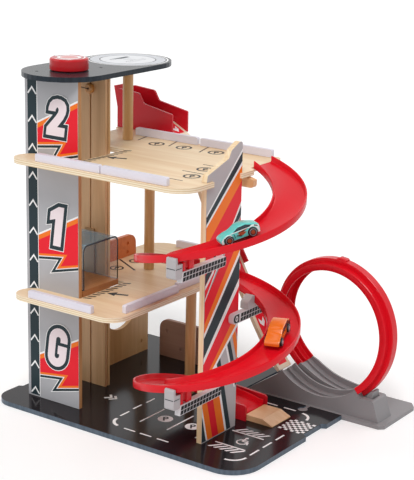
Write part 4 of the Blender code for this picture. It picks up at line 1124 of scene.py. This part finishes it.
def loop_section(alpha, share):
    """The loop's closed profile: a wall and a ledge at each edge, a groove between."""
    near = loop_near(share)
    far = near + LOOP_WIDTH
    side = [
        (LOOP_LEDGE - 0.6, 0.0), (LOOP_INNER + 0.9, 0.0), (LOOP_INNER + 0.25, 0.3),
        (LOOP_INNER, 1.15), (LOOP_INNER + 0.25, SHEET - 0.3), (LOOP_INNER + 0.9, SHEET),
        (LOOP_LEDGE - SHEET - 0.7, SHEET), (LOOP_LEDGE - SHEET, SHEET + 0.7),
        (LOOP_LEDGE - SHEET, 9.5 + SHEET), (LOOP_OUTER - SHEET, 9.5 + SHEET),
    ]
    under = [(LOOP_LEDGE, 0.6), (LOOP_LEDGE, 9.5), (LOOP_OUTER - 0.6, 9.5),
             (LOOP_OUTER, 10.1)]
    points = [(r, near + y) for r, y in side] + [(r, far - y) for r, y in side[::-1]]
    points += [(r, far - y) for r, y in under] + [(r, near + y) for r, y in under[::-1]]
    return [(LOOP_X + math.cos(alpha) * r, y, LOOP_Z + math.sin(alpha) * r)
            for r, y in points]


def fine_loop():
    """Two halves that meet at the top, with a catch over their joint."""
    foot = math.radians(LOOP_FOOT)
    steps, joint = 70, JOINT / LOOP_INNER
    for half, name in enumerate(("right", "left")):
        sections = []
        for k in range(steps + 1):
            share = (half + k / steps) / 2
            alpha = -foot + (math.pi + 2 * foot) * share
            alpha += joint * (k == 0) - joint * (k == steps)
            sections.append(loop_section(alpha, share))
        fine_loft("fine_loop_" + name, sections, "red plastic", "loop_half_" + name)
    loop_joint_bump()


def loop_joint_bump():
    """The raised catch over the groove where the two halves of the loop join."""
    start, steps, inset, sunk = 81.5, 8, 10.4, 0.05
    rings = []
    for k in range(steps + 1):
        degrees = start + k
        near = loop_near((degrees + LOOP_FOOT) / (180 + 2 * LOOP_FOOT)) + inset
        far = near + LOOP_WIDTH - 2 * inset
        foot = LOOP_OUTER + sunk
        top = LOOP_OUTER + (2.4 if 0 < k < steps else 1.4)
        ring = [(foot, near), (top - 0.5, near), (top, near + 0.6), (top, far - 0.6),
                (top - 0.5, far), (foot, far)]
        a = math.radians(degrees)
        rings.append([(LOOP_X + r * math.cos(a), y, LOOP_Z + r * math.sin(a))
                      for r, y in ring])
    smoothed(skinned("loop_joint_catch", [rings], ring=True), "red plastic", "garage")


# The bent acrylic hood's cut edges, which look dark

def hood_profile(inset):
    """The bent hood's profile in y and z, moved inwards by an inset."""
    near, far, foot, crown, bend = 45.7, 117.0, 168.8, 220.0, 9.0
    return ([(near + inset, foot)] + arc_chain(near + bend, crown, bend - inset, 180, 90, 8)
            + arc_chain(far - bend, crown, bend - inset, 90, 0, 8) + [(far - inset, foot)])


def hood_edges():
    """The dark line along the open side's edge and along the foot in front."""
    side = hood_profile(0.0) + hood_profile(2.3)[::-1]
    print_piece("hood_edge_right", [side], "right", face_of("lift_hood", "x", HIGH),
                "acrylic edge", "lift")
    foot = bar(55.4, 169.4, 120.6, 169.4, 1.0)
    print_piece("hood_edge_front", [foot], "front", face_of("lift_hood", "y", LOW),
                "acrylic edge", "lift")


# Toy cars: flat-sided wooden bodies with rounded edges and printed sides

# Each car's way down the track in degrees, its shift outwards, its lift and its lean.
CAR_STANDS = {
    "turquoise_car": (127.3, -2.7, 2.15, 2.9),
    "orange_car": (433.3, -4.3, 1.9, 0.9),
}
CAR_SIDE, CAR_AXLE, CAR_RIDE = 9.6, 15, 5.6
CAR_SHAPES = {
    "turquoise_car": [
        (-25, -2.6), (25, -2.6), (25.2, 2.6), (22.5, 5.2), (16, 7.0), (9, 8.0), (1.5, 12.2),
        (-5, 13.0), (-11, 12.6), (-21, 9.2), (-25, 7.0)],
    "orange_car": [
        (-25, -2.6), (25, -2.6), (25.2, 3.4), (22.5, 5.8), (16, 7.2), (10.5, 8.2),
        (5.0, 12.8), (-4, 13.4), (-15, 13.2), (-22.5, 9.0), (-25, 6.4)],
}


def car_frame(car):
    """Matrix from the car's own axes, x ahead and y outwards, to the part."""
    degrees, offset, lift, lean = CAR_STANDS[car]
    travel = math.radians(degrees)
    theta = math.pi / 2 - travel
    middle = (TRACK_INNER + TRACK_OUTER) / 2
    slope = math.atan2(TRACK_DROP, math.pi * middle)
    ahead = Vector((math.sin(theta) * math.cos(slope), -math.cos(theta) * math.cos(slope),
                    -math.sin(slope)))
    outward = Vector((math.cos(theta), math.sin(theta), 0))
    turn = Matrix.Rotation(math.radians(lean), 3, ahead)
    top = turn @ ahead.cross(outward)
    floor = Vector((TRACK_X, TRACK_Y, TRACK_START - TRACK_DROP * travel / math.pi))
    spot = (floor + outward * (middle + offset) + top * (CAR_RIDE + lift) - CORNER) * MM
    columns = Matrix((ahead, turn @ outward, top)).transposed().to_4x4()
    return Matrix.Translation(spot) @ columns


CAR_FACING = {
    "outer": Matrix(((-1, 0, 0), (0, 0, 1), (0, 1, 0))),
    "inner": Matrix(((1, 0, 0), (0, 0, -1), (0, 1, 0))),
}


def car_sheet(name, outlines, car, side, distance, finish, body, thick=0.14, round_edge=0.0):
    """A flat shape on a car's side plane; u runs ahead, v up from the axles."""
    ahead = -1 if side == "outer" else 1
    turned = [[(u * ahead, v) for u, v in outline] for outline in outlines]
    piece = flat_shape(name, turned, thick, round_edge)
    shift = Matrix.Translation((0, 0, distance * MM))
    place = car_frame(car) @ CAR_FACING[side].to_4x4() @ shift
    return placed_shape(piece, place, finish, body)


def softened(outline):
    """Rounds an outline's corners by cutting each edge near its ends, twice over."""
    for _ in range(2):
        cut_points = []
        for (a, b), (c, d) in zip(outline, outline[1:] + outline[:1]):
            cut_points.append((a * 0.8 + c * 0.2, b * 0.8 + d * 0.2))
            cut_points.append((a * 0.2 + c * 0.8, b * 0.2 + d * 0.8))
        outline = cut_points
    return outline


def wheel_well(car, x, side):
    """Cutter for the round well that a wheel sits in."""
    radius, depth, floor = 6.2, 6.0, 7.9
    cutter = cylinder("well", radius * MM, depth * MM, 40, (0, 0, 0))
    move = Matrix.Translation((x * MM, side * (floor + depth / 2) * MM, 0))
    cutter.matrix_world = car_frame(car) @ move @ Matrix.Rotation(math.pi / 2, 4, "X")
    return cutter


def car_body(car, finish):
    """A rounded wooden slab with four round wheel wells cut into its sides."""
    body = car_sheet(car + "_shell", [softened(CAR_SHAPES[car])], car, "inner", 0.0, finish,
                     car, 2 * CAR_SIDE, 1.2)
    for x in (-CAR_AXLE, CAR_AXLE):
        for side in (-1, 1):
            cutter = wheel_well(car, x, side)
            step = body.modifiers.new("well", "BOOLEAN")
            step.operation = "DIFFERENCE"
            step.solver = "EXACT"
            step.object = cutter
            choose_only(body)
            bpy.ops.object.modifier_apply(modifier=step.name)
            bpy.data.objects.remove(cutter, do_unlink=True)
    bpy.ops.object.shade_smooth_by_angle(angle=math.radians(30))
    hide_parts(car + "_body")


def car_hubs(car, finish):
    """A coloured hub cap and a gray printed ring on the outside of each wheel."""
    distance = 11.25
    for place, x in (("front", CAR_AXLE), ("rear", -CAR_AXLE)):
        wheels = f"{car}_{place}_wheels"
        for side in ("outer", "inner"):
            car_sheet(f"{wheels}_hub_{side}", [disc(x, 0, 2.5, 24)], car, side, distance,
                      finish, wheels, 0.4, 0.12)
            car_sheet(f"{wheels}_ring_{side}", [disc(x, 0, 4.3, 32), disc(x, 0, 3.8, 32)],
                      car, side, distance, "gray ink", wheels, 0.2)


def side_skin(belt):
    """Pale printed side under a belt line, open over both wheel wells."""
    radius, foot = 6.6, 2.1
    start = math.degrees(math.asin(foot / radius))
    rear, front = (arc_chain(x, 0, radius, 180 + start, -start, 12)
                   for x in (-CAR_AXLE, CAR_AXLE))
    return [(-24, -foot)] + rear + front + [(24, -foot)] + belt


def turquoise_prints():
    """Pale side, dark window, rust brown flame and thin black lines on both sides."""
    car = "turquoise_car"
    belt = [(24, 2.2), (21.6, 3.8), (21.5, 4.4), (9, 7.3), (3, 8.2), (-18, 8.8), (-24, 6.6)]
    window = [(7.8, 7.4), (1.6, 11.4), (-8.5, 11.8), (-15.5, 9.2), (-13, 7.6)]
    flame = [(-3.5, 1.0), (-8.2, 3.2), (-4.5, 4.6), (-10.5, 6.8), (-2, 6.4), (3.5, 4.2),
             (0.5, 3.2), (5.5, 1.6)]
    for side in ("outer", "inner"):
        for name, shape, finish, lift in (
                ("skin", side_skin(belt), "car side ink", 0.06),
                ("window", window, "car glass", 0.2),
                ("flame", flame, "rust ink", 0.2)):
            car_sheet(f"{car}_{name}_{side}", [shape], car, side, CAR_SIDE + lift, finish, car)
        marks = [bar(-22.5, 5.6, -18.5, 7.6, 1.2), bar(-1.5, 0.2, 4.5, 2.4, 0.9),
                 bar(-6.5, 5.2, 1.5, 5.7, 0.8), bar(6.8, 0.2, 7.6, 5.6, 0.6)]
        car_sheet(f"{car}_marks_{side}", marks, car, side, CAR_SIDE + 0.34, "black ink", car)


def orange_prints():
    """Black side, dark window and thin orange stripes on both sides."""
    car = "orange_car"
    belt = [(24, 3.0), (21.6, 4.6), (11, 7.2), (-18, 8.0), (-24, 6.0)]
    window = [(9.5, 8.0), (4.8, 11.8), (-14.5, 12.2), (-19.5, 9.0)]
    for side in ("outer", "inner"):
        car_sheet(f"{car}_skin_{side}", [side_skin(belt)], car, side, CAR_SIDE + 0.06,
                  "black ink", car)
        car_sheet(f"{car}_window_{side}", [window], car, side, CAR_SIDE + 0.06, "car glass",
                  car)
        stripes = [bar(-8.0, 1.2, 8.0, 2.2, 1.0), bar(-7.2, 3.4, 7.2, 4.4, 0.8),
                   bar(-6, 6.2, 22, 4.4, 0.6)]
        car_sheet(f"{car}_stripe_{side}", stripes, car, side, CAR_SIDE + 0.2, "orange ink",
                  car)


# Camera, light and floor

def build_camera():
    """Camera fitted to the photograph: its azimuth, elevation and roll in degrees."""
    azimuth, elevation, roll = 35.17, 15.74, 1.25
    data = bpy.data.cameras.new("camera")
    data.lens = 106.63
    data.sensor_width = 36
    data.clip_start = 0.05
    data.clip_end = 20
    camera = bpy.data.objects.new("camera", data)
    place = Matrix.Translation((1.0581, -1.4578, 0.7338))
    for degrees, axis in ((azimuth, "Z"), (90 - elevation, "X"), (roll, "Z")):
        place = place @ Matrix.Rotation(math.radians(degrees), 4, axis)
    camera.matrix_world = place
    bpy.context.scene.collection.objects.link(camera)
    bpy.context.scene.camera = camera


def add_sun(name, energy, place, spread):
    """A sun that shines from a place towards the part's middle."""
    data = bpy.data.lights.new(name, "SUN")
    data.energy = energy
    data.angle = spread
    lamp = bpy.data.objects.new(name, data)
    lamp.location = place
    lamp.rotation_euler = (-Vector(place)).to_track_quat("-Z", "Y").to_euler()
    bpy.context.scene.collection.objects.link(lamp)


def build_lights():
    """Three soft suns and a white world, plain enough for colours to show as written."""
    add_sun("key light", 1.5, (0.55, -1.0, 1.7), 0.35)
    add_sun("fill light", 0.5, (-1.2, -0.9, 1.0), 0.6)
    add_sun("rear light", 0.45, (0.3, 1.2, 1.4), 0.6)
    world = bpy.data.worlds.new("studio")
    bpy.context.scene.world = world
    world.use_nodes = True
    tree = world.node_tree
    background = tree.nodes["Background"]
    strength = add_node(tree, "ShaderNodeMapRange", [("To Min", 0.45), ("To Max", 1.0)],
                        [("Value", seen_directly(tree))])
    tree.links.new(strength.outputs["Result"], background.inputs["Strength"])
    background.inputs["Color"].default_value = (1, 1, 1, 1)


def seen_directly(tree):
    """1 where the camera looks, straight or by way of a mirror or glass."""
    path = add_node(tree, "ShaderNodeLightPath")
    seen = add_node(tree, "ShaderNodeMath", [("operation", "MAXIMUM")],
                    [(0, path.outputs["Is Camera Ray"]), (1, path.outputs["Is Glossy Ray"])])
    seen = add_node(tree, "ShaderNodeMath", [("operation", "MAXIMUM")],
                    [(0, seen.outputs[0]), (1, path.outputs["Is Transmission Ray"])])
    return seen.outputs[0]


def build_floor():
    """A matt floor that looks white to the camera and keeps the object's shadow."""
    bpy.ops.mesh.primitive_plane_add(size=12, location=(0, 0, -0.0002))
    bpy.ops.object.transform_apply(location=True, rotation=True, scale=True)
    floor = bpy.context.view_layer.objects.active
    floor.name = "floor"
    material, tree, shader = new_material("matt white studio floor", 0.9)
    shader.inputs["Base Color"].default_value = (0.86, 0.86, 0.86, 1)
    shader.inputs["Emission Color"].default_value = (1, 1, 1, 1)
    glow = add_node(tree, "ShaderNodeMath", [("operation", "MULTIPLY"), (1, 0.2)],
                    [(0, seen_directly(tree))])
    tree.links.new(glow.outputs[0], shader.inputs["Emission Strength"])
    floor.data.materials.append(material)


tower_chevrons()
tower_bands()
tower_numerals()
side_panel_print()
base_print()
deck_prints()
roof_print()
knob_print()
beam_checks()
beam_tabs()
cord_fall()
clip_lines()
fine_track()
fine_loop()
hood_edges()
car_body("turquoise_car", "turquoise")
car_body("orange_car", "orange")
car_hubs("turquoise_car", "rust ink")
car_hubs("orange_car", "hub")
turquoise_prints()
orange_prints()
ramp_ribbon()
ramp_chevrons()
build_camera()
build_lights()
build_floor()

bpy.context.scene.view_settings.view_transform = "Standard"
